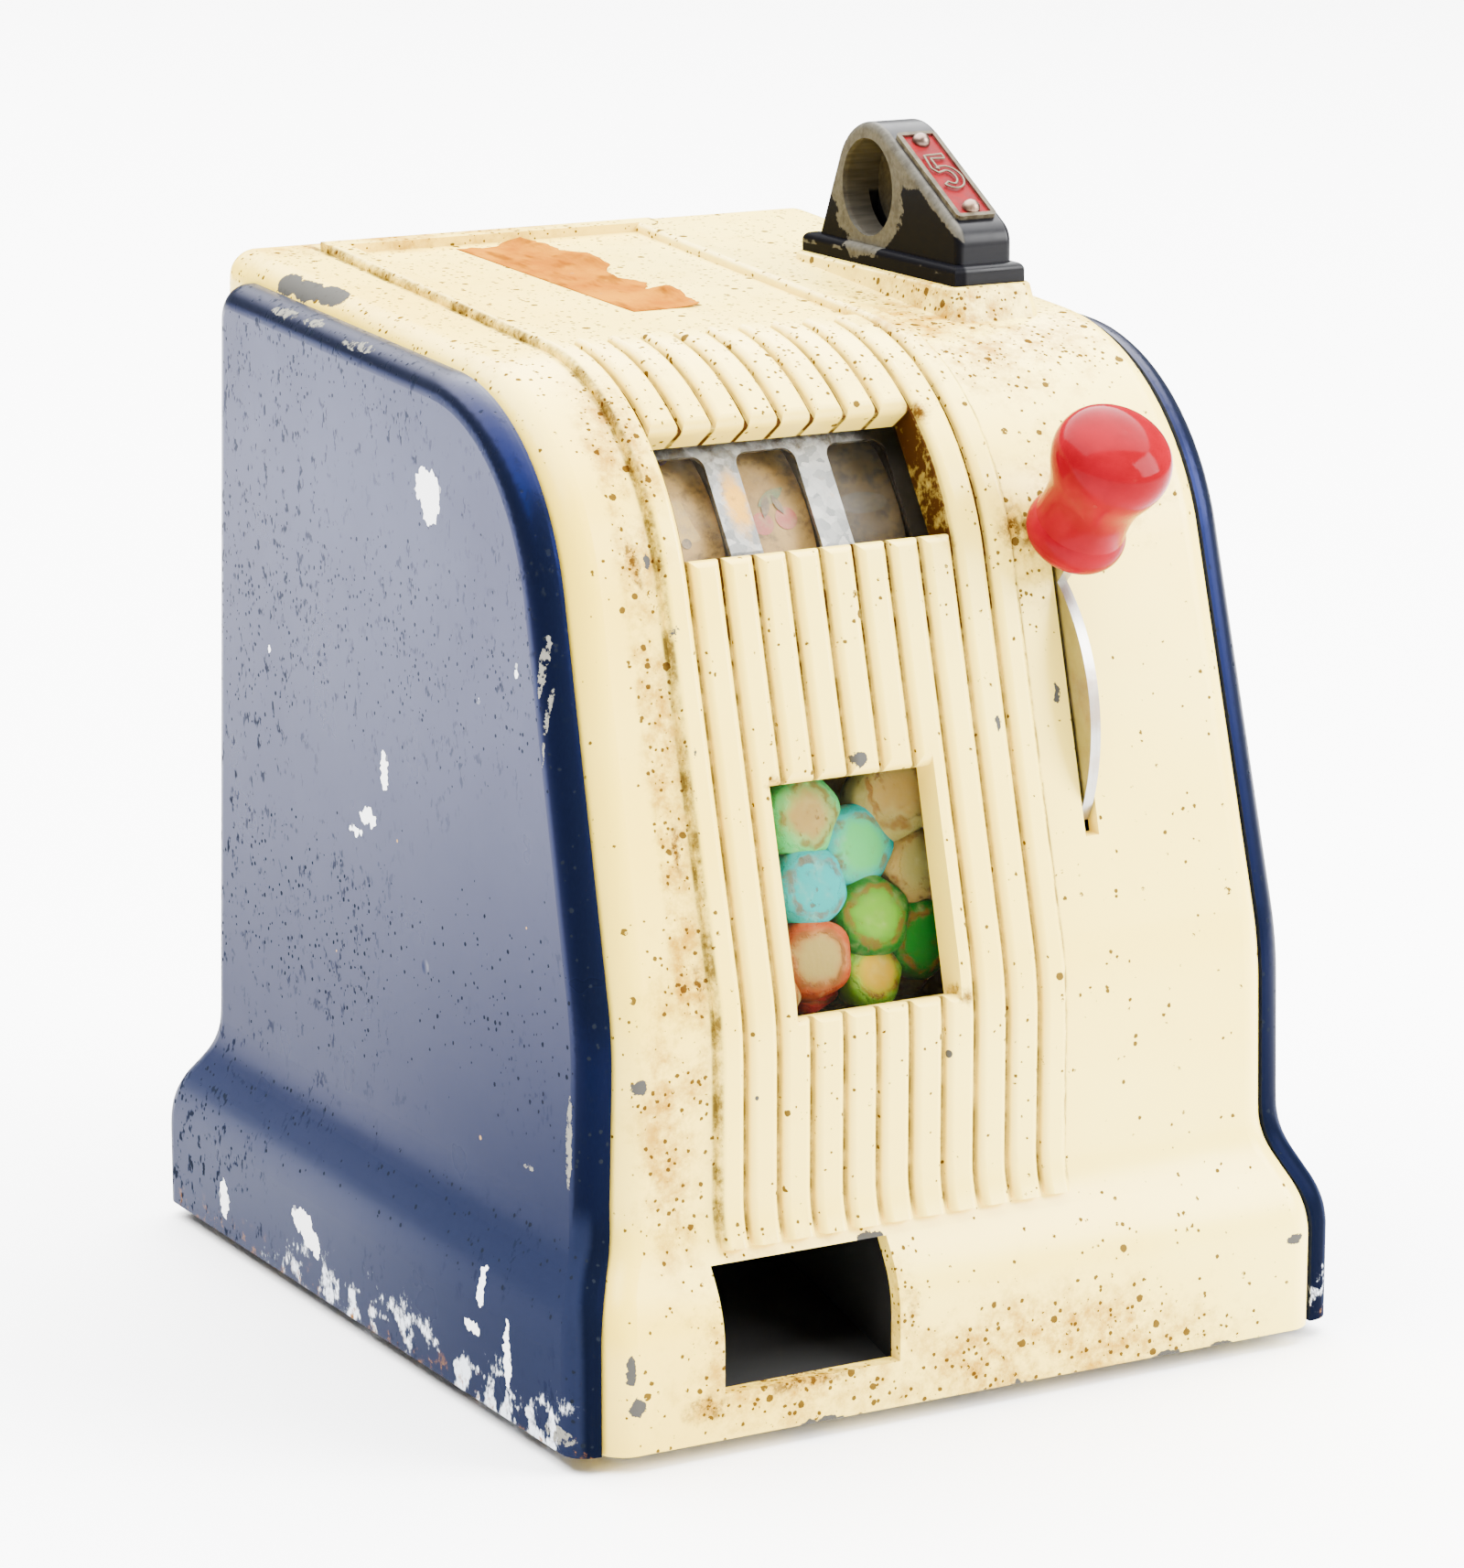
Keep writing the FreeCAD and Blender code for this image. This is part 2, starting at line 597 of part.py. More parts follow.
def coin_pad():
    """Level pad under the coin head; its front and left sides slope down into the top."""
    reach = s.coin_width / 2 + s.pad_border
    left, right = s.coin_x - reach, s.coin_x + reach
    front, rear = s.pad_border - s.coin_front, -s.pad_border - s.coin_rear
    low = top_z(s.coin_front) - s.lip_drop
    pad = Part.makeWedge(
        left - s.pad_run, low, rear, rear, left,
        right, PAD_LEVEL, front + s.pad_run * 2, front, right,
    )
    pad.rotate(Vector(0, 0, 0), Vector(1, 0, 0), 90)
    upright = [e for e in pad.Edges if e.BoundBox.ZLength > s.fit_gap]
    pad = pad.makeFillet(s.pad_border * 2, upright)
    rim = [e for e in pad.Edges if e.BoundBox.ZMin > PAD_LEVEL - s.fit_gap]
    return pad.makeFillet(s.pad_border / 2, rim)


COIN_SCREW_Y = (s.coin_front + s.screw_head * 3, s.coin_rear - s.screw_head * 3)


def panel_points():
    """(y, z) of the screws that hold a side panel to the casting's flange."""
    inset = (s.casting_wall + s.flange_depth) / 2
    slope = math.cos(math.radians(s.front_lean))
    high, low = s.slot_top - s.flange_depth, s.skirt_high + s.flange_depth * 2
    rear = REAR_Y - s.flange_depth * 2
    return [
        (rear, top_z(rear) - inset),
        (front_line(high) + inset / slope, high),
        (FRONT_Y + inset, low),
    ]


def casting_shape():
    outer = rolled(envelope(CASTING, 0, BOTTOM), s.edge_roll, BOTTOM)
    left = valley(s.rib_start - s.rib_edge - s.valley_left)
    right = valley(s.rib_start + s.rib_pitch * (GROOVES - 1) + s.rib_edge + s.valley_right)
    skin = outer.cut([left, right])
    solid = skin.fuse(reeds() + [coin_pad()])
    inner = casting_corners(BOTTOM - FAR / 4)
    hollow = envelope(inner, -s.casting_wall, BOTTOM - FAR / 4, s.casting_wall)
    solid = solid.cut(hollow)
    frames = [w.rim(s.frame_rim, 0, w.deep).common(outer) for w in (REEL_WINDOW, GUM_WINDOW)]
    solid = solid.fuse(frames)
    tools = [
        prism(casting_corners(BOTTOM - FAR / 4), side_view, -FAR / 2, FAR, s.flange_depth),
        block((-FAR, FAR), (REAR_Y - s.panel_wall * 2, FAR), (-FAR, s.top_height - s.lip_drop)),
        block(
            (s.lever_x - SLOT_HALF, s.lever_x + SLOT_HALF),
            (-FAR, front_line(s.slot_top) + s.flange_depth),
            (s.slot_bottom, s.slot_top),
        ),
        block(
            (s.outlet_middle - s.outlet_width / 2, s.outlet_middle + s.outlet_width / 2),
            (-FAR, FRONT_Y + s.casting_wall * 2),
            (s.outlet_bottom, s.outlet_top),
        ),
        block(
            (COIN_SLOT_X - s.coin_slot, COIN_SLOT_X),
            (s.coin_bore_y - s.coin_bore / 2, s.coin_bore_y + s.coin_bore / 2),
            (PAD_LEVEL - s.flange_depth * 2, PAD_LEVEL + s.flange_depth),
        ),
    ]
    for w in (REEL_WINDOW, GUM_WINDOW):
        tools.append(w.mouth())
        tools.append(w.block(s.frame_rim, w.deep, w.deep + s.casting_wall * 2))
        tools.append(w.block(s.pane_lap + s.fit_gap, w.deep - s.pane_thick, w.deep + s.casting_wall))
        tools += w.bored(s.screw_radius, w.deep - s.screw_bite, w.deep + s.casting_wall)
    for y in COIN_SCREW_Y:
        start = Vector(s.coin_x, y, PAD_LEVEL - FAR / 16)
        tools.append(Part.makeCylinder(s.screw_radius + s.fit_gap, FAR / 8, start))
    for y, z in panel_points():
        start = Vector(-FAR / 2, y, z)
        tools.append(Part.makeCylinder(s.screw_radius + s.fit_gap, FAR, start, Vector(1, 0, 0)))
    return solid.cut(tools).removeSplitter()


casting = piece(formed("front_casting", casting_shape()), "front_casting")


# Side panels: pressed shells with bosses for the screws
def panel_shape(side):
    corners = panel_corners(BOTTOM)
    outer = rolled(envelope(corners, s.panel_proud, BOTTOM), s.panel_roll, BOTTOM)
    wall = s.panel_wall
    inner = envelope(panel_corners(BOTTOM - FAR / 4), s.panel_proud - wall, BOTTOM - FAR / 4, wall)
    shell = outer.cut(inner)
    bosses = []
    for y, z in panel_points():
        length = half_width(z) + s.panel_proud - wall / 2
        bosses.append(Part.makeCylinder(s.screw_head, length, Vector(0, y, z), Vector(side, 0, 0)))
    shell = shell.fuse([b.common(outer) for b in bosses])
    tools = [prism(width_corners(s.fit_gap, BOTTOM - FAR / 4), front_view, -FAR / 2, FAR)]
    for y, z in panel_points():
        length = half_width(z) + s.panel_proud - wall * 1.5
        tools.append(Part.makeCylinder(s.screw_radius, length, Vector(0, y, z), Vector(side, 0, 0)))
    tools.append(block(*[((-FAR, 0) if side > 0 else (0, FAR)), (-FAR, FAR), (-FAR, FAR)]))
    return shell.cut(tools).removeSplitter()


for name, side in (("left_side_panel", -1), ("right_side_panel", 1)):
    piece(formed(name, panel_shape(side)), name)


# Rear panel with its doorway, and the hinged door
def rear_band(near, far, low, high, side_gap):
    """Sheet that follows the rear outline between two insets and two heights."""
    outer = prism(panel_corners(BOTTOM), side_view, -FAR / 2, FAR, near)
    inner = prism(panel_corners(BOTTOM - FAR / 4), side_view, -FAR / 2, FAR, far)
    width = prism(width_corners(-side_gap, BOTTOM - FAR / 4), front_view, -FAR / 2, FAR)
    keep = block((-FAR, FAR), (REAR_Y - s.panel_wall * 2, FAR), (low, high))
    return outer.cut(inner).common(width).common(keep)


HINGE_X = -s.door_width / 2 - s.hinge_radius
HINGE_Y = REAR_Y + s.door_gap + s.hinge_radius
HINGE_BAND = s.door_height / 5
LOCK_X = s.door_width / 2 - s.lock_inset
LOCK_Z = s.door_bottom + s.door_height / 2


def knuckle(band, reach):
    """Knuckle in one of the hinge's five bands, with a strap that reaches along x."""
    low = s.door_bottom + HINGE_BAND * band + s.door_gap
    high = low + HINGE_BAND - s.door_gap * 2
    barrel = Part.makeCylinder(s.hinge_radius, high - low, Vector(HINGE_X, HINGE_Y, low))
    strap_y = (REAR_Y, REAR_Y + s.door_gap + s.strap_thick)
    strap = block(sorted((HINGE_X, HINGE_X + reach)), strap_y, (low, high))
    return barrel.fuse(strap)


def hinge_bore(radius):
    return Part.makeCylinder(radius, s.door_height, Vector(HINGE_X, HINGE_Y, s.door_bottom))


def rear_panel_shape():
    top = s.top_height - s.lip_drop - s.fit_gap
    sheet_metal = rear_band(0, s.panel_wall, BOTTOM, top, s.fit_gap)
    gap = s.door_gap
    doorway = block(
        (-s.door_width / 2 - gap, s.door_width / 2 + gap),
        (0, FAR),
        (s.door_bottom - gap, s.door_bottom + s.door_height + gap),
    )
    sheet_metal = sheet_metal.cut(doorway)
    fixed = [knuckle(band, -s.strap_long) for band in (1, 3)]
    return sheet_metal.fuse(fixed).cut(hinge_bore(s.pin_radius + s.fit_gap)).removeSplitter()


def door_shape():
    leaf = block(
        (-s.door_width / 2, s.door_width / 2),
        (REAR_Y - s.panel_wall, REAR_Y),
        (s.door_bottom, s.door_bottom + s.door_height),
    )
    moving = [knuckle(band, s.strap_long) for band in (0, 2, 4)]
    lock_at = Vector(LOCK_X, 0, LOCK_Z)
    tools = [
        hinge_bore(s.pin_radius + s.run_gap),
        Part.makeCylinder(s.lock_radius + s.fit_gap, FAR, lock_at, Vector(0, 1, 0)),
        block((-FAR, -s.door_width / 2), (0, REAR_Y + s.door_gap), (-FAR, FAR)),
    ]
    return leaf.fuse(moving).cut(tools).removeSplitter()


piece(formed("rear_panel", rear_panel_shape()), "rear_panel")
piece(formed("rear_door", door_shape()), "rear_door")
pin = rod("hinge_pin", "pin_radius", "door_height", (HINGE_X, HINGE_Y, "door_bottom"), "z")
piece(pin, "door_hinge_pin")

# Door lock: a barrel with a flange outside, and a turning plug that carries the cam
lock_end = REAR_Y - s.panel_wall - s.lock_deep
barrel_tube = rod("lock_tube", "lock_radius", "panel_wall + lock_deep", (LOCK_X, lock_end, LOCK_Z), "y")
barrel_flange = rod("lock_flange", "lock_radius + lock_rim", "lock_rim", (LOCK_X, REAR_Y, LOCK_Z), "y")
barrel_bore = rod("lock_bore", "plug_radius + run_gap", FAR, (LOCK_X, 0.0, LOCK_Z), "y")
barrel_body = fuse("lock_barrel_body", [barrel_tube, barrel_flange])
piece(cut("lock_barrel", barrel_body, [barrel_bore]), "lock_barrel")
plug_start = lock_end - s.cam_thick
plug_long = "panel_wall + lock_deep + cam_thick + lock_rim"
plug_rod = rod("plug_rod", "plug_radius", plug_long, (LOCK_X, plug_start, LOCK_Z), "y")
key_corner = (LOCK_X - s.key_wide / 2, REAR_Y, LOCK_Z - s.plug_radius / 2)
key_slot = box("key_slot", ("key_wide", "lock_deep", "plug_radius"), key_corner)
piece(cut("lock_plug", plug_rod, [key_slot]), "lock_plug")
cam_sizes = ("lock_radius * 2", "cam_thick", "cam_long + lock_radius")
cam_bar = box("cam_bar", cam_sizes, (LOCK_X - s.lock_radius, plug_start, LOCK_Z - s.lock_radius))
cam_hole = rod("cam_hole", "plug_radius + fit_gap / 5", FAR, (LOCK_X, 0.0, LOCK_Z), "y")
piece(cut("lock_cam", cam_bar, [cam_hole]), "lock_cam")

# Base plate and rubber feet
plate_x = CASTING_HALF - s.casting_wall - s.fit_gap
plate_y = HALF_DEPTH - s.casting_wall - s.fit_gap
FEET = [(i * (plate_x - s.foot_inset), j * (plate_y - s.foot_inset)) for i in (-1, 1) for j in (-1, 1)]
base_block = box(
    "base_block",
    (
        "base_width - 2 * (panel_proud + casting_wall + fit_gap)",
        "base_depth - 2 * (casting_wall + fit_gap)",
        "base_thick",
    ),
    (-plate_x, -plate_y, "foot_height"),
)
holes, feet, foot_screws = [], [], []
for i, (x, y) in enumerate(FEET):
    holes.append(rod(f"base_hole_{i}", "screw_radius + fit_gap", FAR, (x, y, 0.0), "z"))
    cone = doc.addObject("Part::Cone", f"foot_{i}")
    bind(cone, "Radius1", "foot_radius")
    bind(cone, "Radius2", "foot_radius + foot_height / 3")
    bind(cone, "Height", "foot_height")
    place(cone, (x, y, 0.0))
    well = rod(f"foot_well_{i}", "screw_head + fit_gap", "foot_well", (x, y, 0.0), "z")
    bore = rod(f"foot_bore_{i}", "screw_radius + fit_gap", FAR, (x, y, 0.0), "z")
    feet.append(cut(f"foot_cut_{i}", cone, [well, bore]))
    shank_long = "foot_height - foot_well + base_thick + nut_tall"
    shank = rod(f"foot_shank_{i}", "screw_radius", shank_long, (x, y, "foot_well"), "z")
    head = rod(f"foot_head_{i}", "screw_head", "head_tall", (x, y, "foot_well - head_tall"), "z")
    nut = rod(f"foot_nut_{i}", "screw_head", "nut_tall", (x, y, "foot_height + base_thick"), "z")
    foot_screws.append(fuse(f"foot_screw_{i}", [shank, head, nut]))
piece(cut("base_plate", base_block, holes), "base_plate")
piece(group("rubber_feet", feet), "rubber_feet")
piece(group("foot_screws", foot_screws), "foot_screws")

# Screws that hold the side panels, driven from inside the casting's flanges
panel_screws = []
for side in (-1, 1):
    for i, (y, z) in enumerate(panel_points()):
        under = half_width(z) - s.casting_wall - s.fit_gap
        turn = "x" if side > 0 else "-x"
        name, thread = f"{side}_{i}", "screw_radius - run_gap"
        head_x, shank_long = side * (under - s.head_tall), "casting_wall + screw_bite / 2"
        shank = rod(f"panel_shank_{name}", thread, shank_long, (side * under, y, z), turn)
        head = rod(f"panel_head_{name}", "screw_head", "head_tall", (head_x, y, z), turn)
        panel_screws.append(fuse(f"panel_screw_{side}_{i}", [shank, head]))
piece(group("panel_screws", panel_screws), "panel_screws")


# Helpers: bodies built from sketches
def body(name, where, turn=None):
    return place(doc.addObject("PartDesign::Body", name), where, turn or Rotation())


def sketch(owner, role, offset="0"):
    """Sketch on one of a body's origin planes, lifted off it by a bound offset."""
    drawn = owner.newObject("Sketcher::SketchObject", f"{owner.Name}_sketch")
    plane = next(f for f in owner.Origin.OriginFeatures if f.Role == role)
    drawn.AttachmentSupport = (plane, [""])
    drawn.MapMode = "FlatFace"
    bind(drawn, "AttachmentOffset.Base.z", offset)
    return drawn


def circles(drawn, specs):
    """Adds circles (a, b, radius text) with bound radii."""
    for a, b, radius in specs:
        index = drawn.addGeometry(Part.Circle(Vector(a, b, 0), Vector(0, 0, 1), 1.0))
        rule = drawn.addConstraint(Sketcher.Constraint("Radius", index, 1.0))
        bind(drawn, f"Constraints[{rule}]", radius)
        fixed = Sketcher.Constraint("DistanceX", -1, 1, index, 3, a)
        drawn.addConstraint([fixed, Sketcher.Constraint("DistanceY", -1, 1, index, 3, b)])
    return drawn


def polygon(drawn, points):
    """Adds a closed run of straight lines."""
    for (a0, b0), (a1, b1) in zip(points, points[1:] + points[:1]):
        drawn.addGeometry(Part.LineSegment(Vector(a0, b0, 0), Vector(a1, b1, 0)))
    return drawn


def arm(drawn, tip_a, tip_b, root_radius, tip_radius):
    """Adds a tapered arm from the sketch's origin to a tip, with round ends and tangent flanks."""
    length = math.hypot(tip_a, tip_b)
    along = math.atan2(tip_b, tip_a)
    spread = math.acos((root_radius - tip_radius) / length)
    tip = Vector(tip_a, tip_b, 0)

    def on_ring(middle, radius, angle):
        return middle + Vector(math.cos(angle), math.sin(angle), 0) * radius

    upper, lower = along + spread, along - spread
    root_up, root_low = on_ring(Vector(), root_radius, upper), on_ring(Vector(), root_radius, lower)
    tip_up, tip_low = on_ring(tip, tip_radius, upper), on_ring(tip, tip_radius, lower)
    back, front = on_ring(Vector(), root_radius, along + math.pi), on_ring(tip, tip_radius, along)
    drawn.addGeometry(Part.LineSegment(root_low, tip_low))
    drawn.addGeometry(Part.Arc(tip_low, front, tip_up))
    drawn.addGeometry(Part.LineSegment(tip_up, root_up))
    drawn.addGeometry(Part.Arc(root_up, back, root_low))
    return drawn


def pad(owner, drawn, length):
    feature = owner.newObject("PartDesign::Pad", f"{owner.Name}_pad")
    feature.Profile = drawn
    bind(feature, "Length", length)
    drawn.Visibility = False
    return feature


def pocket(owner, drawn):
    feature = owner.newObject("PartDesign::Pocket", f"{owner.Name}_pocket")
    feature.Profile = drawn
    feature.Type = "ThroughAll"
    feature.Midplane = True
    return feature


def turned(owner, drawn, axis):
    feature = owner.newObject("PartDesign::Revolution", f"{owner.Name}_turn")
    feature.Profile = drawn
    feature.ReferenceAxis = (drawn, [axis])
    feature.Angle = 360
    return feature


def repeated(owner, feature, count):
    """Repeats a feature round the body's x axis."""
    pattern = owner.newObject("PartDesign::PolarPattern", f"{owner.Name}_pattern")
    pattern.Originals = [feature]
    axis = next(f for f in owner.Origin.OriginFeatures if f.Role == "X_Axis")
    pattern.Axis = (axis, [""])
    pattern.Angle = 360
    pattern.Occurrences = count
    owner.Tip = pattern
    return pattern


# Window panes, reel mask and their screws
REEL_X = [WINDOW_X + s.reel_pitch * i for i in (-1, 0, 1)]


def window_screws(window, under):
    """Screws in the frame's four holes, heads on a sheet that ends at the depth under."""
    shanks = window.bored(s.screw_radius - s.run_gap, window.deep - s.screw_bite + s.fit_gap, under)
    heads = window.bored(s.screw_head, under, under + s.head_tall)
    return Part.Compound([shank.fuse(head) for shank, head in zip(shanks, heads)])


def mask_shape():
    near, far = REEL_WINDOW.deep, REEL_WINDOW.deep + s.mask_thick
    plate = REEL_WINDOW.block(s.frame_rim - s.fit_gap, near, far)
    tools = REEL_WINDOW.bored(s.screw_radius + s.fit_gap, near - s.mask_thick, far + s.mask_thick)
    for x in REEL_X:
        half, rise = s.mask_open / 2, REEL_WINDOW.long / 2 - s.mask_border
        hole = block((-half, half), (near - s.mask_thick, far + s.mask_thick), (-rise, rise))
        hole = hole.makeFillet(s.mask_corner, [e for e in hole.Edges if e.BoundBox.YLength > s.mask_thick])
        hole.translate(Vector(x - WINDOW_X, 0, 0))
        tools.append(REEL_WINDOW.set_down_rod(hole))
    return plate.cut(tools)


for name, window in (("reel_glass", REEL_WINDOW), ("gum_glass", GUM_WINDOW)):
    piece(formed(name, window.block(s.pane_lap, window.deep - s.pane_thick, window.deep)), name)
piece(formed("reel_mask", mask_shape()), "reel_mask")
piece(formed("mask_screws", window_screws(REEL_WINDOW, REEL_WINDOW.deep + s.mask_thick)), "mask_screws")

# Mechanism: axes of the reels, the stop pawls, the gum wheel and the lever
REEL_AXIS = REEL_WINDOW.point(0, REEL_WINDOW.deep + s.mask_thick + s.reel_gap + s.reel_radius, 0)
PAWL_AXIS = REEL_AXIS + Vector(0, s.pawl_long, -s.notch_ring)
THROAT_X = -s.hopper_half + s.throat / 2
THROAT_DEPTH = GUM_WINDOW.deep + s.hopper_deep - s.throat / 2
GUM_AXIS = GUM_WINDOW.point(THROAT_X, THROAT_DEPTH, -s.hopper_floor - s.tin - s.wheel_gap - s.wheel_radius)
LEVER_AXIS = Vector(s.lever_x, LEVER_Y, s.lever_z)
FLOOR_TOP = BOTTOM + s.base_thick
LEFT_X = REEL_X[0] - s.frame_left
RIGHT_X = REEL_X[2] + s.frame_right
BRACKET_X = s.lever_x + s.bracket_reach
CRANK_X = RIGHT_X + s.crank_offset

# Three reels: drum, printed strip and stop wheel
HUB_SIDE = s.reel_wide / 2 + s.reel_side_gap
for name, x in zip(("left", "middle", "right"), REEL_X):
    rim = s.reel_radius - s.strip_thick - s.end_play
    web, wide = s.reel_web / 2, s.reel_wide / 2
    bore = s.axle_radius + s.run_gap
    half = [(web, s.hub_radius), (web, rim - s.reel_rim), (wide, rim - s.reel_rim), (wide, rim)]
    section = [(-HUB_SIDE, bore), (HUB_SIDE, bore), (HUB_SIDE, s.hub_radius)] + half
    section += [(-a, b) for a, b in reversed(half)] + [(-HUB_SIDE, s.hub_radius)]
    reel = body(f"reel_{name}", (x, REEL_AXIS.y, REEL_AXIS.z))
    turned(reel, polygon(sketch(reel, "XY_Plane"), section), "H_Axis")
    piece(reel, f"reel_{name}")
    paper = rod(f"strip_{name}", "reel_radius", "reel_wide", (x - wide, REEL_AXIS.y, REEL_AXIS.z))
    core_at = (x - wide * 2, REEL_AXIS.y, REEL_AXIS.z)
    core = rod(f"strip_core_{name}", "reel_radius - strip_thick", "reel_wide * 2", core_at)
    piece(cut(f"strip_cut_{name}", paper, [core]), f"reel_strip_{name}")
    wheel = body(f"stop_wheel_{name}", (x + HUB_SIDE, REEL_AXIS.y, REEL_AXIS.z))
    disc = circles(sketch(wheel, "YZ_Plane"), [(0, 0, "stop_radius"), (0, 0, "axle_radius + run_gap")])
    pad(wheel, disc, "stop_thick")
    notch = pocket(wheel, circles(sketch(wheel, "YZ_Plane"), [(0, -s.notch_ring, "notch_radius")]))
    doc.recompute()
    repeated(wheel, notch, int(s.stops))
    piece(wheel, f"stop_wheel_{name}")
    lift = Rotation(Vector(1, 0, 0), math.degrees(math.asin(s.pawl_lift / s.pawl_long)))
    centred = x + HUB_SIDE + (s.stop_thick - s.pawl_thick) / 2
    pawl = body(f"stop_pawl_{name}", (centred, PAWL_AXIS.y, PAWL_AXIS.z), lift)
    nose = s.notch_radius - s.nose_gap
    shape = arm(sketch(pawl, "YZ_Plane"), -s.pawl_long, -s.pawl_drop, s.pawl_hub, nose)
    circles(shape, [(0, 0, "axle_radius + run_gap")])
    pad(pawl, shape, "pawl_thick")
    pad(pawl, polygon(sketch(pawl, "YZ_Plane"), [
        (-s.pawl_long - nose, -s.pawl_drop),
        (-s.pawl_long + nose, -s.pawl_drop),
        (-s.pawl_long + nose, 0),
        (-s.pawl_long - nose, 0),
    ]), "pawl_thick")
    tip = circles(sketch(pawl, "YZ_Plane"), [(-s.pawl_long, 0, "notch_radius - nose_gap")])
    pad(pawl, tip, "pawl_thick")
    piece(pawl, f"stop_pawl_{name}")


def side_plate(name, x, points, holes, foot_side):
    """Upright plate with holes, standing on a bent foot."""
    plate = body(name, (x, 0.0, 0.0))
    drawn = polygon(sketch(plate, "YZ_Plane"), points)
    pad(plate, circles(drawn, holes), "plate_thick")
    ys = [y for y, z in points if z == FLOOR_TOP]
    offset = "plate_thick" if foot_side > 0 else "-foot_reach"
    foot = polygon(sketch(plate, "YZ_Plane", offset), [
        (min(ys), FLOOR_TOP),
        (max(ys), FLOOR_TOP),
        (max(ys), FLOOR_TOP + s.plate_thick),
        (min(ys), FLOOR_TOP + s.plate_thick),
    ])
    pad(plate, foot, "foot_reach")
    return piece(plate, name)


PLATE_TOP = REEL_AXIS.z + s.plate_margin
PLATE_REAR = PAWL_AXIS.y + s.plate_margin
PLATE_FRONT = GUM_AXIS.y - s.plate_margin * 2 / 3
PLATE = [
    (PLATE_FRONT, FLOOR_TOP),
    (PLATE_REAR, FLOOR_TOP),
    (PLATE_REAR, PAWL_AXIS.z + s.plate_margin),
    (REEL_AXIS.y + s.plate_margin, PLATE_TOP),
    (REEL_AXIS.y - s.plate_margin, PLATE_TOP),
    (LEVER_Y - s.plate_margin, s.lever_z + s.plate_margin),
    (PLATE_FRONT, GUM_AXIS.z + s.plate_margin * 2),
]
shafts = [
    (REEL_AXIS.y, REEL_AXIS.z, "axle_radius + fit_gap"),
    (PAWL_AXIS.y, PAWL_AXIS.z, "axle_radius + fit_gap"),
    (GUM_AXIS.y, GUM_AXIS.z, "axle_radius + run_gap"),
]
bush_hole = (LEVER_Y, s.lever_z, "bush_radius + fit_gap / 3")
side_plate("mech_plate_left", LEFT_X - s.plate_thick, PLATE, shafts, 1)
side_plate("mech_plate_right", RIGHT_X, PLATE, shafts + [bush_hole], -1)
BRACKET_REAR = LEVER_Y + s.arm_long + s.plate_margin / 2
BRACKET = [
    (LEVER_Y - s.plate_margin, FLOOR_TOP),
    (BRACKET_REAR, FLOOR_TOP),
    (BRACKET_REAR, s.lever_z - s.plate_margin),
    (LEVER_Y + s.plate_margin / 2, s.lever_z + s.plate_margin),
    (LEVER_Y - s.plate_margin, s.lever_z + s.plate_margin),
]
POST = Vector(0, LEVER_Y + s.arm_long, s.lever_z - s.spring_long)
post_hole = (POST.y, POST.z, "stud_radius + fit_gap / 3")
side_plate("lever_bracket", BRACKET_X, BRACKET, [bush_hole, post_hole], 1)
for name, axis in (("reel_shaft", REEL_AXIS), ("pawl_shaft", PAWL_AXIS)):
    start = LEFT_X - s.plate_thick - s.shaft_over
    length = RIGHT_X + s.plate_thick + s.shaft_over - start
    piece(rod(name, "axle_radius", length, (start, axis.y, axis.z)), name)

# Spacers on the reel shaft's left end and between the pawls
PAWL_X = [x + HUB_SIDE + (s.stop_thick - s.pawl_thick) / 2 for x in REEL_X]
SPACES = [(REEL_AXIS, LEFT_X, REEL_X[0] - HUB_SIDE)]
for low, high in zip([LEFT_X] + [x + s.pawl_thick for x in PAWL_X], PAWL_X + [RIGHT_X]):
    SPACES.append((PAWL_AXIS, low, high))
spacers = []
for i, (axis, low, high) in enumerate(SPACES):
    tube_at = (low + s.end_play, axis.y, axis.z)
    tube = rod(f"spacer_tube_{i}", "spacer_radius", high - low - s.end_play * 2, tube_at)
    bore = rod(f"spacer_bore_{i}", "axle_radius + fit_gap / 3", FAR, (-FAR / 2, axis.y, axis.z))
    spacers.append(cut(f"spacer_{i}", tube, [bore]))
piece(group("shaft_spacers", spacers), "shaft_spacers")

# Tie rods between the plates
TIES = [
    (LEFT_X, RIGHT_X, PLATE_REAR - s.plate_margin / 2, FLOOR_TOP + s.plate_margin),
    (LEFT_X, RIGHT_X, PLATE_REAR - s.plate_margin, PAWL_AXIS.z - s.plate_margin * 2.5),
    (LEFT_X, RIGHT_X, LEVER_Y + s.plate_margin, GUM_AXIS.z),
    (RIGHT_X + s.plate_thick, BRACKET_X, LEVER_Y + s.plate_margin, GUM_AXIS.z),
]
ties = []
for i, (x0, x1, y, z) in enumerate(TIES):
    ties.append(rod(f"tie_{i}", "tie_radius", x1 - x0, (x0, y, z)))
piece(group("tie_rods", ties), "tie_rods")

# Bushes of the lever shaft
bushes = []
for i, x in enumerate((RIGHT_X, BRACKET_X)):
    sleeve = rod(f"bush_sleeve_{i}", "bush_radius", "plate_thick", (x, *LEVER_PLACE))
    flange_x = x + s.plate_thick if i == 0 else x - s.bush_flange
    flange = rod(f"bush_flange_{i}", "bush_radius * 1.4", "bush_flange", (flange_x, *LEVER_PLACE))
    hole = rod(f"bush_hole_{i}", "lever_axle + run_gap", FAR, (-FAR / 2, *LEVER_PLACE))
    bushes.append(cut(f"bush_{i}", fuse(f"bush_body_{i}", [sleeve, flange]), [hole]))
piece(group("lever_bushes", bushes), "lever_bushes")

# Lever: sector plate with tang and spring arm, its shaft, crank, stud and knob
REST = math.radians(s.lever_rest)
TANG_DIR = Vector(0, -math.cos(REST), math.sin(REST))
CLOSE = "lever_axle + fit_gap / 5"


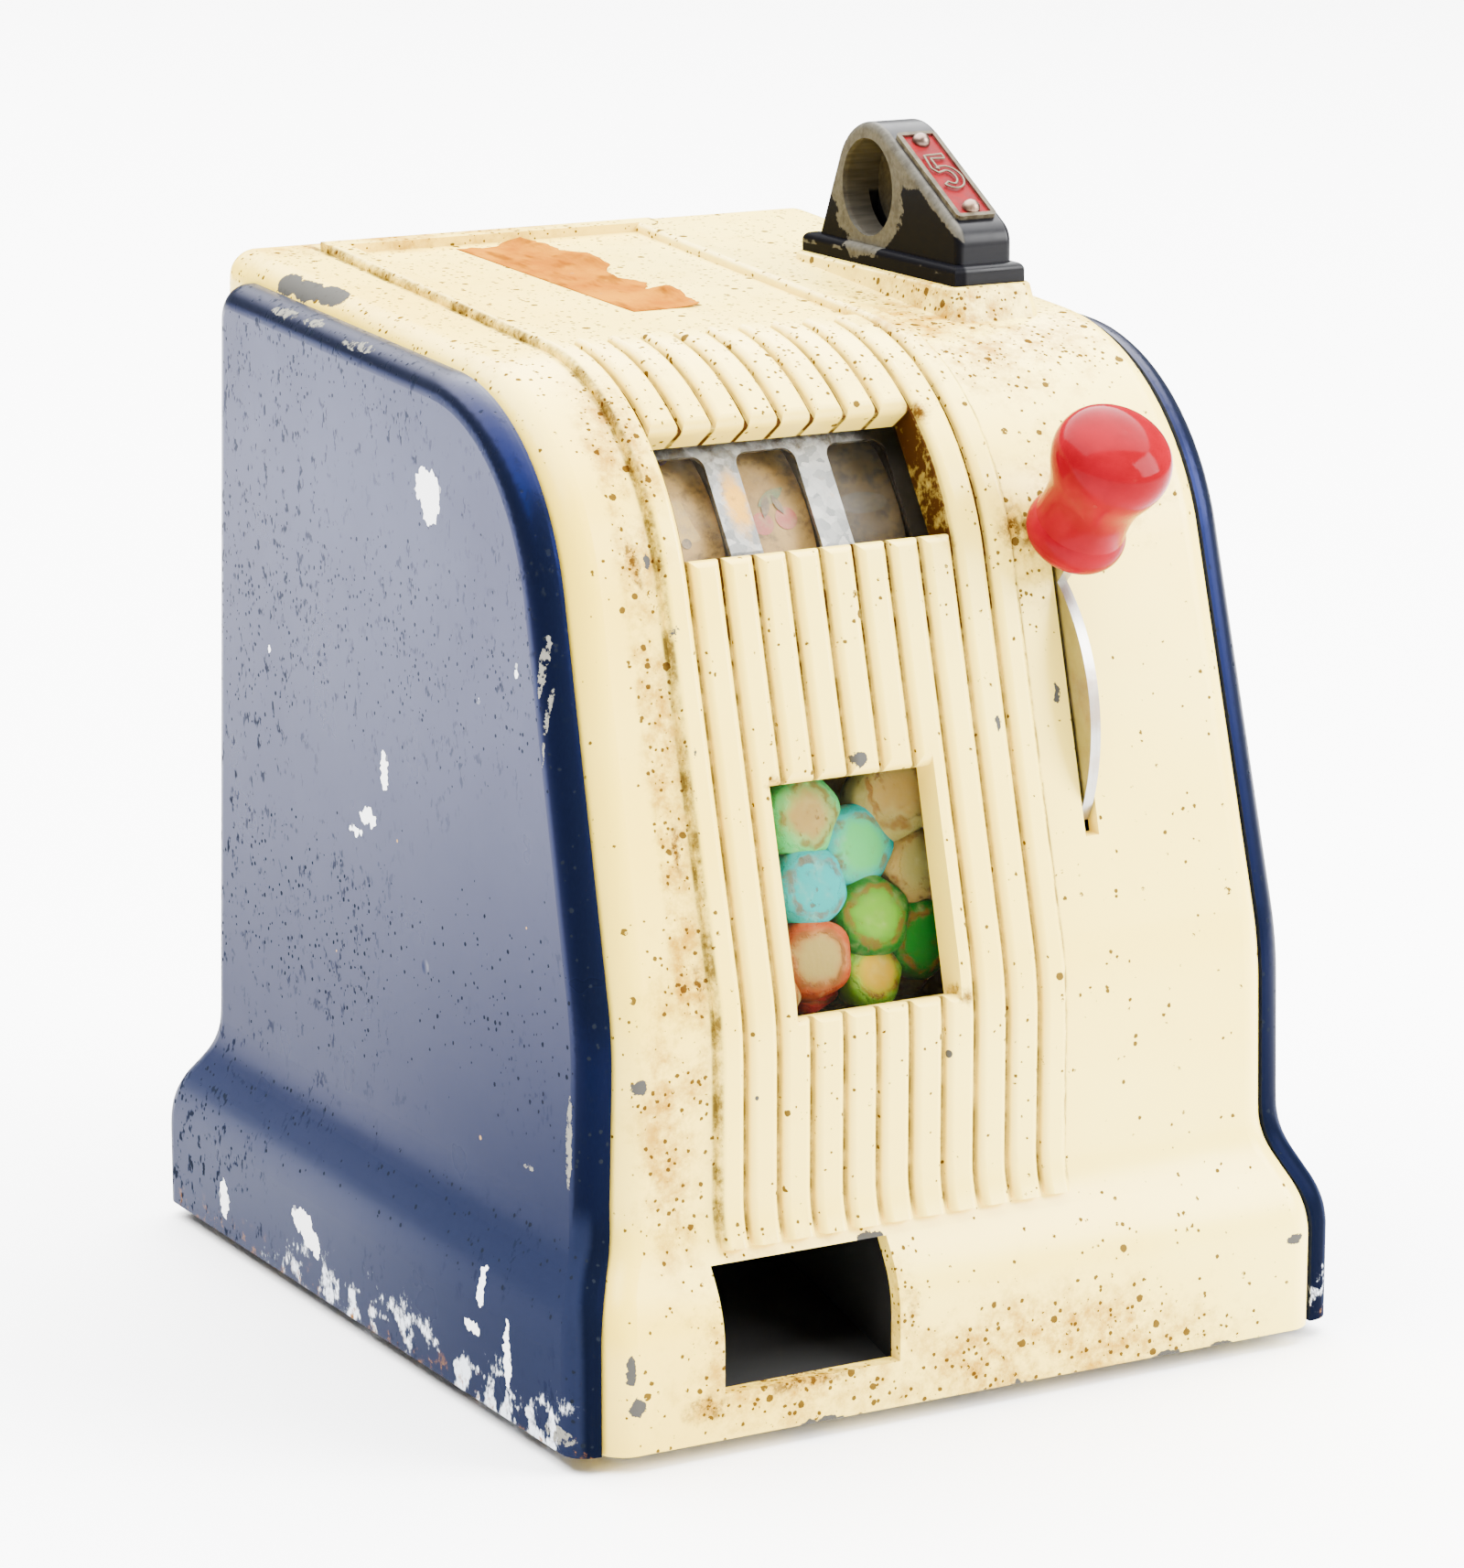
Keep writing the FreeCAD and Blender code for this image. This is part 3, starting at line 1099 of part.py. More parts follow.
def ray(degrees, reach):
    """Point in the lever's plane at an angle over the forward horizontal."""
    angle = math.radians(degrees)
    return (-math.cos(angle) * reach, math.sin(angle) * reach)


lever = body("lever_plate", (s.lever_x - s.lever_thick / 2, *LEVER_PLACE))
sector = sketch(lever, "YZ_Plane")
low, high = ray(s.sector_low, s.sector_radius), ray(s.sector_high, s.sector_radius)
crown = ray((s.sector_low + s.sector_high) / 2, s.sector_radius)
sector.addGeometry(Part.LineSegment(Vector(0, 0, 0), Vector(*low, 0)))
sector.addGeometry(Part.Arc(Vector(*low, 0), Vector(*crown, 0), Vector(*high, 0)))
sector.addGeometry(Part.LineSegment(Vector(*high, 0), Vector(0, 0, 0)))
pad(lever, sector, "lever_thick")
pad(lever, circles(sketch(lever, "YZ_Plane"), [(0, 0, "lever_hub")]), "lever_thick")
tang_end = s.knob_seat - s.fit_gap
spread = math.degrees(math.atan2(s.tang_half, tang_end))
tang = polygon(sketch(lever, "YZ_Plane"), [
    (0, 0),
    ray(s.lever_rest - spread, tang_end),
    ray(s.lever_rest + spread, tang_end),
])
pad(lever, tang, "lever_thick")
root_radius, tip_radius = s.lever_hub - s.stud_radius / 2, s.stud_radius * 2
spring_arm = arm(sketch(lever, "YZ_Plane"), s.arm_long, 0, root_radius, tip_radius)
pad(lever, spring_arm, "lever_thick")
pad(lever, circles(sketch(lever, "YZ_Plane"), [(s.arm_long, 0, "stud_radius")]), "stud_long")
pocket(lever, circles(sketch(lever, "YZ_Plane"), [(0, 0, CLOSE)]))
piece(lever, "lever_plate")

shaft_start = RIGHT_X - s.shaft_over
shaft_length = BRACKET_X + s.plate_thick + s.shaft_over - shaft_start
piece(rod("lever_shaft", "lever_axle", shaft_length, (shaft_start, *LEVER_PLACE)), "lever_shaft")

SEAT = LEVER_AXIS + TANG_DIR * s.knob_seat
ALONG_TANG = Rotation(Vector(0, 0, 1), TANG_DIR)
stud = rod("knob_stud", "stud_thread", "knob_bore - fit_gap", tuple(SEAT))
stud.Placement.Rotation = ALONG_TANG
piece(stud, "knob_stud")


def knob_profile(drawn):
    """Half section of the knob: foot bead, waist and round head, with a blind bore."""
    r, h, bore = s.knob_radius, s.knob_long, s.stud_thread + s.fit_gap / 5
    foot, neck = Vector(r * 0.72, 0, 0), Vector(r * 0.77, h * 0.20, 0)
    bead = Part.Arc(foot, Vector(r * 0.84, h * 0.10, 0), neck)
    side = Part.BSplineCurve()
    side.interpolate([
        neck,
        Vector(r * 0.75, h * 0.34, 0),
        Vector(r * 0.80, h * 0.48, 0),
        Vector(r * 0.95, h * 0.64, 0),
        Vector(r, h * 0.74, 0),
        Vector(r * 0.90, h * 0.88, 0),
        Vector(r * 0.55, h * 0.97, 0),
        Vector(0, h, 0),
    ])
    drawn.addGeometry(Part.LineSegment(Vector(bore, 0, 0), foot))
    drawn.addGeometry(bead)
    drawn.addGeometry(side)
    drawn.addGeometry(Part.LineSegment(Vector(0, h, 0), Vector(0, s.knob_bore, 0)))
    drawn.addGeometry(Part.LineSegment(Vector(0, s.knob_bore, 0), Vector(bore, s.knob_bore, 0)))
    drawn.addGeometry(Part.LineSegment(Vector(bore, s.knob_bore, 0), Vector(bore, 0, 0)))
    return drawn


knob = body("lever_knob", tuple(SEAT), ALONG_TANG)
turned(knob, knob_profile(sketch(knob, "XZ_Plane")), "V_Axis")
piece(knob, "lever_knob")

# Parallel linkage from the lever shaft to the gum wheel's shaft
CRANK = ray(180 + s.crank_rest, s.crank_long)
for name, axis, axle in (("lever_crank", LEVER_AXIS, "lever_axle"), ("gum_crank", GUM_AXIS, "axle_radius")):
    crank = body(name, (CRANK_X, axis.y, axis.z))
    outline_of = arm(sketch(crank, "YZ_Plane"), *CRANK, s.lever_hub, s.link_half)
    pad(crank, circles(outline_of, [(0, 0, f"{axle} + fit_gap / 5")]), "plate_thick")
    pin_length = "plate_thick * 2 + link_gap * 2"
    pad(crank, circles(sketch(crank, "YZ_Plane"), [(*CRANK, "stud_radius")]), pin_length)
    piece(crank, name)
link_x = CRANK_X + s.plate_thick + s.link_gap
span = GUM_AXIS - LEVER_AXIS
link = body("link_rod", (link_x, LEVER_Y + CRANK[0], s.lever_z + CRANK[1]))
link_outline = arm(sketch(link, "YZ_Plane"), span.y, span.z, s.link_half, s.link_half)
circles(link_outline, [(0, 0, "stud_radius + run_gap"), (span.y, span.z, "stud_radius + run_gap")])
pad(link, link_outline, "plate_thick")
piece(link, "link_rod")

# Return spring of the lever, hung between the arm's stud and a post in the bracket
post_x = s.lever_x + s.lever_thick / 2 + s.slot_gap * 2
post_long = BRACKET_X + s.plate_thick - post_x
piece(rod("spring_post", "stud_radius", post_long, (post_x, POST.y, POST.z)), "spring_post")


def spring_shape():
    """Coil of whole turns with an eye at each end, each joined to the coil by a straight leg."""
    x = (post_x + s.lever_x - s.lever_thick / 2 + s.stud_long) / 2
    wire, side = s.wire_radius, s.coil_radius
    eye = s.stud_radius + s.fit_gap + wire
    leg = eye + side
    height = s.spring_long - 2 * leg
    pitch = height / round(height / s.coil_pitch)
    ring = Part.Wire(Part.makeCircle(wire, Vector(side, 0, 0), Vector(0, 1, 0)))
    coil = Part.Wire(Part.makeHelix(pitch, height, side)).makePipeShell([ring], True, True)
    coil.translate(Vector(x, POST.y, POST.z + leg))
    pieces = []
    for z, way in ((POST.z, 1), (s.lever_z, -1)):
        pieces.append(Part.makeTorus(eye, wire, Vector(x, POST.y, z), Vector(1, 0, 0)))
        low, high = Vector(x, POST.y, z + way * eye), Vector(x + side, POST.y, z + way * leg)
        pieces.append(Part.makeCylinder(wire, (high - low).Length, low, high - low))
        pieces.append(Part.makeSphere(wire, high))
    return coil.fuse(pieces)


piece(formed("return_spring", spring_shape()), "return_spring")


# Gum hopper behind its window, the gumballs, the gum wheel and the outlet chute
def hopper_shape():
    near, far = GUM_WINDOW.deep, GUM_WINDOW.deep + s.hopper_deep
    half, floor, tin = s.hopper_half, s.hopper_floor, s.tin
    rise = GUM_WINDOW.long / 2 + s.pane_lap - tin
    tub = block((-half - tin, half + tin), (near, far + tin), (-floor - tin, rise))
    inside = block((-half, half), (near - tin, far), (-floor, rise + tin))
    throat = block((-half, -half + s.throat), (far - s.throat, far), (-floor - 3 * tin, 0))
    tub = GUM_WINDOW.set_down(tub.cut([inside, throat]))
    flange = GUM_WINDOW.rim(s.frame_rim - s.fit_gap, near, near + tin)
    inside = GUM_WINDOW.set_down(inside)
    bores = GUM_WINDOW.bored(s.screw_radius + s.fit_gap, near - tin, far)
    reel_start = REEL_AXIS - Vector(FAR / 2, 0, 0)
    reel_space = Part.makeCylinder(s.reel_radius + s.reel_gap, FAR, reel_start, Vector(1, 0, 0))
    return tub.fuse(flange.cut([inside] + bores)).cut(reel_space).removeSplitter()


piece(formed("gum_hopper", hopper_shape()), "gum_hopper")
piece(formed("hopper_screws", window_screws(GUM_WINDOW, GUM_WINDOW.deep + s.tin)), "hopper_screws")

balls = []
step = s.ball_radius * 2 + s.fit_gap * 2
lift = step * math.sqrt(3) / 2
for layer in range(2):
    for row in range(4):
        odd = (row + layer) % 2
        across_row = [-1.5, -0.5, 0.5, 1.5] if odd else [-1, 0, 1]
        for i, place_x in enumerate(across_row):
            ball = doc.addObject("Part::Sphere", f"ball_{layer}_{row}_{i}")
            bind(ball, "Radius", "ball_radius")
            depth = GUM_WINDOW.deep + s.ball_radius + s.fit_gap + layer * lift
            up = -s.hopper_floor + s.ball_radius + s.fit_gap + row * lift
            place(ball, tuple(GUM_WINDOW.point(place_x * step, depth, up)))
            balls.append(ball)
piece(group("gumballs", balls), "gumballs")

wheel = body("gum_wheel", (GUM_AXIS.x - s.wheel_wide / 2, GUM_AXIS.y, GUM_AXIS.z))
disc = circles(sketch(wheel, "YZ_Plane"), [(0, 0, "wheel_radius"), (0, 0, "axle_radius + fit_gap / 5")])
pad(wheel, disc, "wheel_wide")
scoop_ring = s.wheel_radius - s.scoop_radius / 3
scoop = pocket(wheel, circles(sketch(wheel, "YZ_Plane"), [(0, scoop_ring, "scoop_radius")]))
doc.recompute()
repeated(wheel, scoop, int(s.scoops))
piece(wheel, "gum_wheel")
gum_start = LEFT_X - s.plate_thick - s.shaft_over
gum_long = CRANK_X + s.plate_thick - gum_start
gum_bar = rod("gum_wheel_shaft", "axle_radius", gum_long, (gum_start, GUM_AXIS.y, GUM_AXIS.z))
piece(gum_bar, "gum_wheel_shaft")


def chute_shape():
    """Sloped trough from under the gum wheel to the outlet's sill, shaped to the casting's inside."""
    tin, sill = s.tin, -HALF_DEPTH + s.casting_wall
    rear, top = FRONT_Y + s.chute_long, GUM_AXIS.z - s.wheel_radius - s.wheel_gap
    low, drop = s.outlet_bottom - tin * 2, (rear - sill) * tan(s.chute_slope)
    ahead = tin * tan(s.chute_slope)
    wide = s.outlet_width / 2 + tin
    trough = [(sill, low, 0), (rear, low + drop, 0), (rear, top, 0), (sill, top, 0)]
    inside = [
        (sill - tin, low + tin - ahead, 0),
        (rear - tin, low + tin + drop - ahead, 0),
        (rear - tin, top + tin, 0),
        (sill - tin, top + tin, 0),
    ]
    solid = prism(trough, side_view, s.outlet_middle - wide, wide * 2)
    solid = solid.cut(prism(inside, side_view, s.outlet_middle - wide + tin, (wide - tin) * 2))
    room = prism(casting_corners(BOTTOM - FAR / 4), side_view, -FAR / 2, FAR, s.casting_wall + s.chute_gap)
    return solid.common(room)


piece(formed("gum_chute", chute_shape()), "gum_chute")

# Coin head with its bore, slot and screws; price plate and rivets on its front slope
APEX = Vector(0, s.coin_bore_y, s.coin_bore_up)
SLOPE = math.radians(s.plate_slope)
SLOPE_OUT = Vector(0, -math.sin(SLOPE), math.cos(SLOPE))
SLOPE_DOWN = Vector(0, -math.cos(SLOPE), -math.sin(SLOPE))
CROWN = s.coin_bore / 2 + s.coin_rim
NOSE_HALF = math.pi / 4 - SLOPE / 2


def head_outline():
    """Side view of the coin head: crown round the coin hole, plate slope, nose and rear slope."""
    start = APEX + SLOPE_OUT * CROWN
    nose_y = s.coin_front + s.pad_border
    reach = (start.y - nose_y) / math.cos(SLOPE)
    rear_y = s.coin_rear - s.pad_border
    nose = (nose_y, start.z - reach * math.sin(SLOPE))
    tangent = s.nose_round * math.tan(math.pi / 4 - SLOPE / 2)
    bend = [
        (nose_y + tangent * math.cos(SLOPE), nose[1] + tangent * math.sin(SLOPE)),
        (
            nose_y + s.nose_round * (1 - math.cos(NOSE_HALF)),
            nose[1] - tangent + s.nose_round * math.sin(NOSE_HALF),
        ),
        (nose_y, nose[1] - tangent),
    ]
    away = math.hypot(rear_y - APEX.y, APEX.z)
    rear_angle = math.atan2(-APEX.z, rear_y - APEX.y) + math.acos(CROWN / away)
    touch = (APEX.y + CROWN * math.cos(rear_angle), APEX.z + CROWN * math.sin(rear_angle))
    return start, bend, touch, rear_y, rear_angle


start, bend, touch, rear_y, rear_angle = head_outline()
head = body("coin_head", ("coin_x", 0.0, PAD_LEVEL))
drawn = sketch(head, "YZ_Plane", "-coin_body / 2")
top_angle = (rear_angle + math.pi / 2 + SLOPE) / 2
crest = (APEX.y + CROWN * math.cos(top_angle), APEX.z + CROWN * math.sin(top_angle))
bend_start, bend_middle, bend_end = [Vector(*point, 0) for point in bend]
drawn.addGeometry(Part.LineSegment(Vector(bend_end.x, 0, 0), Vector(rear_y, 0, 0)))
drawn.addGeometry(Part.LineSegment(Vector(rear_y, 0, 0), Vector(*touch, 0)))
drawn.addGeometry(Part.Arc(Vector(*touch, 0), Vector(*crest, 0), Vector(start.y, start.z, 0)))
drawn.addGeometry(Part.LineSegment(Vector(start.y, start.z, 0), bend_start))
drawn.addGeometry(Part.Arc(bend_start, bend_middle, bend_end))
drawn.addGeometry(Part.LineSegment(bend_end, Vector(bend_end.x, 0, 0)))
pad(head, drawn, "coin_body")
flange = polygon(sketch(head, "XY_Plane"), [
    (-s.coin_width / 2, s.coin_front),
    (s.coin_width / 2, s.coin_front),
    (s.coin_width / 2, s.coin_rear),
    (-s.coin_width / 2, s.coin_rear),
])
pad(head, flange, "coin_foot")
bore = sketch(head, "YZ_Plane", "-coin_width / 2")
circles(bore, [(APEX.y, APEX.z, "coin_bore / 2")])
hole = head.newObject("PartDesign::Pocket", "coin_hole")
hole.Profile = bore
hole.Reversed = True
bind(hole, "Length", "coin_bore_deep")
drop = polygon(sketch(head, "XY_Plane"), [
    (COIN_SLOT_X - s.coin_slot - s.coin_x, s.coin_bore_y - s.coin_bore / 2),
    (COIN_SLOT_X - s.coin_x, s.coin_bore_y - s.coin_bore / 2),
    (COIN_SLOT_X - s.coin_x, s.coin_bore_y + s.coin_bore / 2),
    (COIN_SLOT_X - s.coin_slot - s.coin_x, s.coin_bore_y + s.coin_bore / 2),
])
screw_wells = circles(sketch(head, "XY_Plane"), [(0, y, "screw_radius") for y in COIN_SCREW_Y])
for profile, depth in ((drop, "coin_bore_up"), (screw_wells, "screw_bite")):
    well = head.newObject("PartDesign::Pocket", "coin_well")
    well.Profile = profile
    well.Reversed = True
    bind(well, "Length", depth)
doc.recompute()


def soft_edges(shape):
    """Edges of the head's flanks and foot that are rounded."""
    names = []
    for i, edge in enumerate(shape.Edges, start=1):
        middle = edge.valueAt(sum(edge.ParameterRange) / 2)
        flank = abs(abs(middle.x) - s.coin_body / 2) < s.fit_gap and middle.z > s.coin_foot + s.fit_gap
        centre = abs(math.hypot(middle.y - APEX.y, middle.z - APEX.z) - s.coin_bore / 2) < s.fit_gap
        along = edge.BoundBox.XLength > s.coin_body - s.fit_gap
        outer = abs(abs(middle.x) - s.coin_width / 2) < s.fit_gap
        ends = along and min(abs(middle.y - s.coin_front), abs(middle.y - s.coin_rear)) < s.fit_gap
        foot = abs(middle.z - s.coin_foot) < s.fit_gap and (outer or ends)
        if (flank and not centre) or foot:
            names.append(f"Edge{i}")
    return names


softened = head.newObject("PartDesign::Fillet", "coin_head_soft")
softened.Base = (well, soft_edges(well.Shape))
bind(softened, "Radius", "coin_soft")
piece(head, "coin_head")

coin_screws = []
for i, y in enumerate(COIN_SCREW_Y):
    under = top_z(y - s.screw_head) - s.casting_wall - s.fit_gap * 2
    shank_long = PAD_LEVEL + s.screw_bite - s.fit_gap - under
    shank = rod(f"coin_shank_{i}", "screw_radius - run_gap", shank_long, ("coin_x", y, under), "z")
    cap = rod(f"coin_cap_{i}", "screw_head", "head_tall", ("coin_x", y, under - s.head_tall), "z")
    coin_screws.append(fuse(f"coin_screw_{i}", [shank, cap]))
piece(group("coin_head_screws", coin_screws), "coin_head_screws")

SIGN_TURN = Rotation(Vector(1, 0, 0), s.plate_slope)
HALF_SLOPE = (start.y - bend_start.x) / math.cos(SLOPE) / 2
SIGN_MIDDLE = Vector(s.coin_x, start.y, PAD_LEVEL + start.z) + SLOPE_DOWN * HALF_SLOPE


def on_slope(shape):
    shape.Placement = Placement(SIGN_MIDDLE, SIGN_TURN)
    return shape


def sign_shape():
    x, y = s.sign_wide / 2, s.sign_long / 2
    plate = block((-x, x), (-y, y), (0, s.sign_thick))
    upright = [e for e in plate.Edges if e.BoundBox.ZLength > s.sign_thick / 2]
    plate = plate.makeFillet(s.sign_border, upright)
    x, y = x - s.sign_border, y - s.sign_border
    return on_slope(plate.cut(block((-x, x), (-y, y), (s.sign_thick / 2, s.sign_thick))))


def rivet_shapes():
    reach = s.sign_long / 2 - s.sign_border - s.rivet_radius
    domes = []
    for y in (-reach, reach):
        dome = Part.makeSphere(s.rivet_radius, Vector(), Vector(0, 0, 1), 0, 90, 360)
        dome.translate(Vector(0, y, s.sign_thick / 2))
        domes.append(dome)
    return on_slope(Part.Compound(domes))


piece(formed("price_plate", sign_shape()), "price_plate")
piece(formed("plate_rivets", rivet_shapes()), "plate_rivets")

# Coin chute down to the cash box
half_coin = s.coin_bore / 2 + s.fit_gap
chute_x = COIN_SLOT_X - s.coin_slot - s.tin
chute_y = s.coin_bore_y - half_coin - s.tin
chute_top = top_z(chute_y) - s.casting_wall - s.fit_gap * 2
chute_low = FLOOR_TOP + s.cash_high + s.head_tall
chute_long = chute_top - chute_low
tube_sizes = ("coin_slot + 2 * tin", "coin_bore + 2 * (fit_gap + tin)", chute_long)
tube = box("coin_tube", tube_sizes, (chute_x, chute_y, chute_low))
way_sizes = ("coin_slot", "coin_bore + 2 * fit_gap", chute_long * 2)
way = box("coin_way", way_sizes, (chute_x + s.tin, chute_y + s.tin, chute_low - s.tin))
piece(cut("coin_chute", tube, [way]), "coin_chute")
cash_front = BRACKET_REAR + s.cash_gap
cash_deep = HALF_DEPTH - s.cash_back - cash_front
cash = box("cash_outer", ("cash_wide", cash_deep, "cash_high"), ("cash_left", cash_front, FLOOR_TOP))
inner_sizes = ("cash_wide - 2 * tin", cash_deep - 2 * s.tin, "cash_high")
inner_at = ("cash_left + tin", cash_front + s.tin, FLOOR_TOP + s.tin)
hollow = box("cash_inner", inner_sizes, inner_at)
piece(cut("cash_box", cash, [hollow]), "cash_box")

doc.recompute()
for obj in doc.Objects:
    if "Invalid" in obj.State or "Error" in obj.State:
        raise RuntimeError(f"{obj.Name} did not compute")
os.makedirs("parts", exist_ok=True)
for obj in PIECES:
    if obj.Shape.isNull() or not obj.Shape.isValid():
        raise RuntimeError(f"{obj.Label} has no valid shape")
    obj.Shape.exportStep(f"parts/{obj.Label}.step")
print(f"{len(PIECES)} pieces written")
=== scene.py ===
# %% [markdown]
# # A counter-top gum machine
# The solids of this machine were built in CAD and come here as one fixed frame: an enamelled
# casting between two pressed side panels, with reels, a lever and a gum hopper inside. This
# lesson gives every surface its finish and adds the few pieces that only make sense as meshes.

# %% Load the frame
import math

import bpy
import numpy as np
from mathutils import Matrix, Vector


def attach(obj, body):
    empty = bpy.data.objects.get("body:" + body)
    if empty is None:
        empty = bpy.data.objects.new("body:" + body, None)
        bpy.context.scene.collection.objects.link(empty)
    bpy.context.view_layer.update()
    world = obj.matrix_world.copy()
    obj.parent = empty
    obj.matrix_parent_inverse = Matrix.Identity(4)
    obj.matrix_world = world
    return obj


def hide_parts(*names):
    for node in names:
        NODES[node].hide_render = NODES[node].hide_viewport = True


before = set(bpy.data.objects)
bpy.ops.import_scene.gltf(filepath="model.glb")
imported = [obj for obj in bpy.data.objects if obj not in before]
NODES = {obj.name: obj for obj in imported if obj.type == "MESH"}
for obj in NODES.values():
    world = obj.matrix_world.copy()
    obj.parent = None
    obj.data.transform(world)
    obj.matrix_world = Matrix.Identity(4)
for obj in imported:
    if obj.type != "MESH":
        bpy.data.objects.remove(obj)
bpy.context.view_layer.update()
MM = 0.001

# %% [markdown]
# ## Camera, floor and light
# The photograph was taken with a long lens from the front left, a little above the machine. The
# camera is set by its eye point and two angles, so the perspective of the sloping sides agrees.
# The set is a bright table in a dim room: a pale floor, one wide soft light over and behind the
# machine and a smaller one at the right. The blue side mirrors the bright floor behind it, which
# is why it looks so much paler than its paint.

# %% Camera
VIEW_AZIMUTH = math.radians(-29.3)
VIEW_ELEVATION = math.radians(13.4)
EYE = Vector((-0.6376, -1.1353, 0.4311))
FOCAL_PIXELS, LONG_SIDE_PIXELS, SENSOR_MM = 6200, 1714, 36

back = Vector((
    math.sin(VIEW_AZIMUTH) * math.cos(VIEW_ELEVATION),
    -math.cos(VIEW_AZIMUTH) * math.cos(VIEW_ELEVATION),
    math.sin(VIEW_ELEVATION),
))
right = Vector((math.cos(VIEW_AZIMUTH), math.sin(VIEW_AZIMUTH), 0))
camera_data = bpy.data.cameras.new("portrait_camera")
camera_data.sensor_width = SENSOR_MM
camera_data.lens = FOCAL_PIXELS / LONG_SIDE_PIXELS * SENSOR_MM
camera = bpy.data.objects.new("portrait_camera", camera_data)
turned = Matrix((right, back.cross(right), back)).transposed().to_4x4()
camera.matrix_world = Matrix.Translation(EYE) @ turned
bpy.context.scene.collection.objects.link(camera)
bpy.context.scene.camera = camera
print("lens", round(camera_data.lens, 1), "mm")


# %% Meshes from arrays
def mesh_piece(name, points, faces, body, finish):
    """Object at the origin from an (n, 3) array in millimetres and a list of arrays of faces."""
    mesh = bpy.data.meshes.new(name)
    corners = [corner for group in faces for corner in group.tolist()]
    mesh.from_pydata((np.asarray(points, float) * MM).tolist(), [], corners)
    mesh.polygons.foreach_set("use_smooth", np.ones(len(mesh.polygons), bool))
    mesh.materials.append(finish.material)
    mesh.update()
    piece = bpy.data.objects.new(name, mesh)
    bpy.context.scene.collection.objects.link(piece)
    if body:
        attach(piece, body)
    return piece


def grid_faces(rows, columns, wrap=False):
    """Quads of a rows by columns grid of points; wrap joins the last column to the first."""
    across = columns if wrap else columns - 1
    r, c = np.meshgrid(np.arange(rows - 1), np.arange(across), indexing="ij")
    following = (c + 1) % columns
    here, above = r * columns, (r + 1) * columns
    quads = [here + c, here + following, above + following, above + c]
    return np.stack(quads, axis=-1).reshape(-1, 4)


def fan_faces(middle, ring):
    """Triangles from one middle point to a closed ring of points."""
    return np.stack([np.full(len(ring), middle), np.roll(ring, -1), ring], axis=-1)


# %% [markdown]
# ## Shader maths as Python
# A finish here is mostly arithmetic on the point of the surface: how far it is from a groove, a
# window's corner or the lower edge. A small class wraps a shader socket, so that such a sum is
# written as a Python expression and each operator adds its Math node.


# %% Values and nodes
def add_node(tree, kind, settings=None, inputs=None, output=0):
    """Adds a node, sets it up, fills its sockets with numbers or links, and returns one output."""
    node = tree.nodes.new(kind)
    for name, setting in (settings or {}).items():
        setattr(node, name, setting)
    for name, term in (inputs or {}).items():
        if isinstance(term, Value):
            tree.links.new(term.socket, node.inputs[name])
        else:
            node.inputs[name].default_value = term
    return Value(tree, node.outputs[output])


class Value:
    """A shader socket; operators on it add Math nodes."""

    def __init__(self, tree, socket):
        self.tree, self.socket = tree, socket

    def math(self, operation, *others):
        terms = dict(enumerate((self, *others)))
        return add_node(self.tree, "ShaderNodeMath", {"operation": operation}, terms)

    def __add__(self, other):
        return self.math("ADD", other)

    def __sub__(self, other):
        return self.math("SUBTRACT", other)

    def __rsub__(self, other):
        return self.math("MULTIPLY_ADD", -1, other)

    def __mul__(self, other):
        return self.math("MULTIPLY", other)

    def __truediv__(self, other):
        return self.math("DIVIDE", other)

    __radd__, __rmul__ = __add__, __mul__

    def size(self):
        return self.math("ABSOLUTE")

    def either(self, other):
        return self.math("MAXIMUM", other)

    def rise(self, low, high):
        """Goes smoothly from 0 at low to 1 at high."""
        inputs = {"Value": self, "From Min": low, "From Max": high}
        return add_node(self.tree, "ShaderNodeMapRange", {"interpolation_type": "SMOOTHSTEP"}, inputs)

    def fall(self, low, high):
        return 1 - self.rise(low, high)

    def off_line(self, middle, half):
        """1 on a line at middle, 0 from half away."""
        return (self - middle).size().fall(half * 0.4, half)


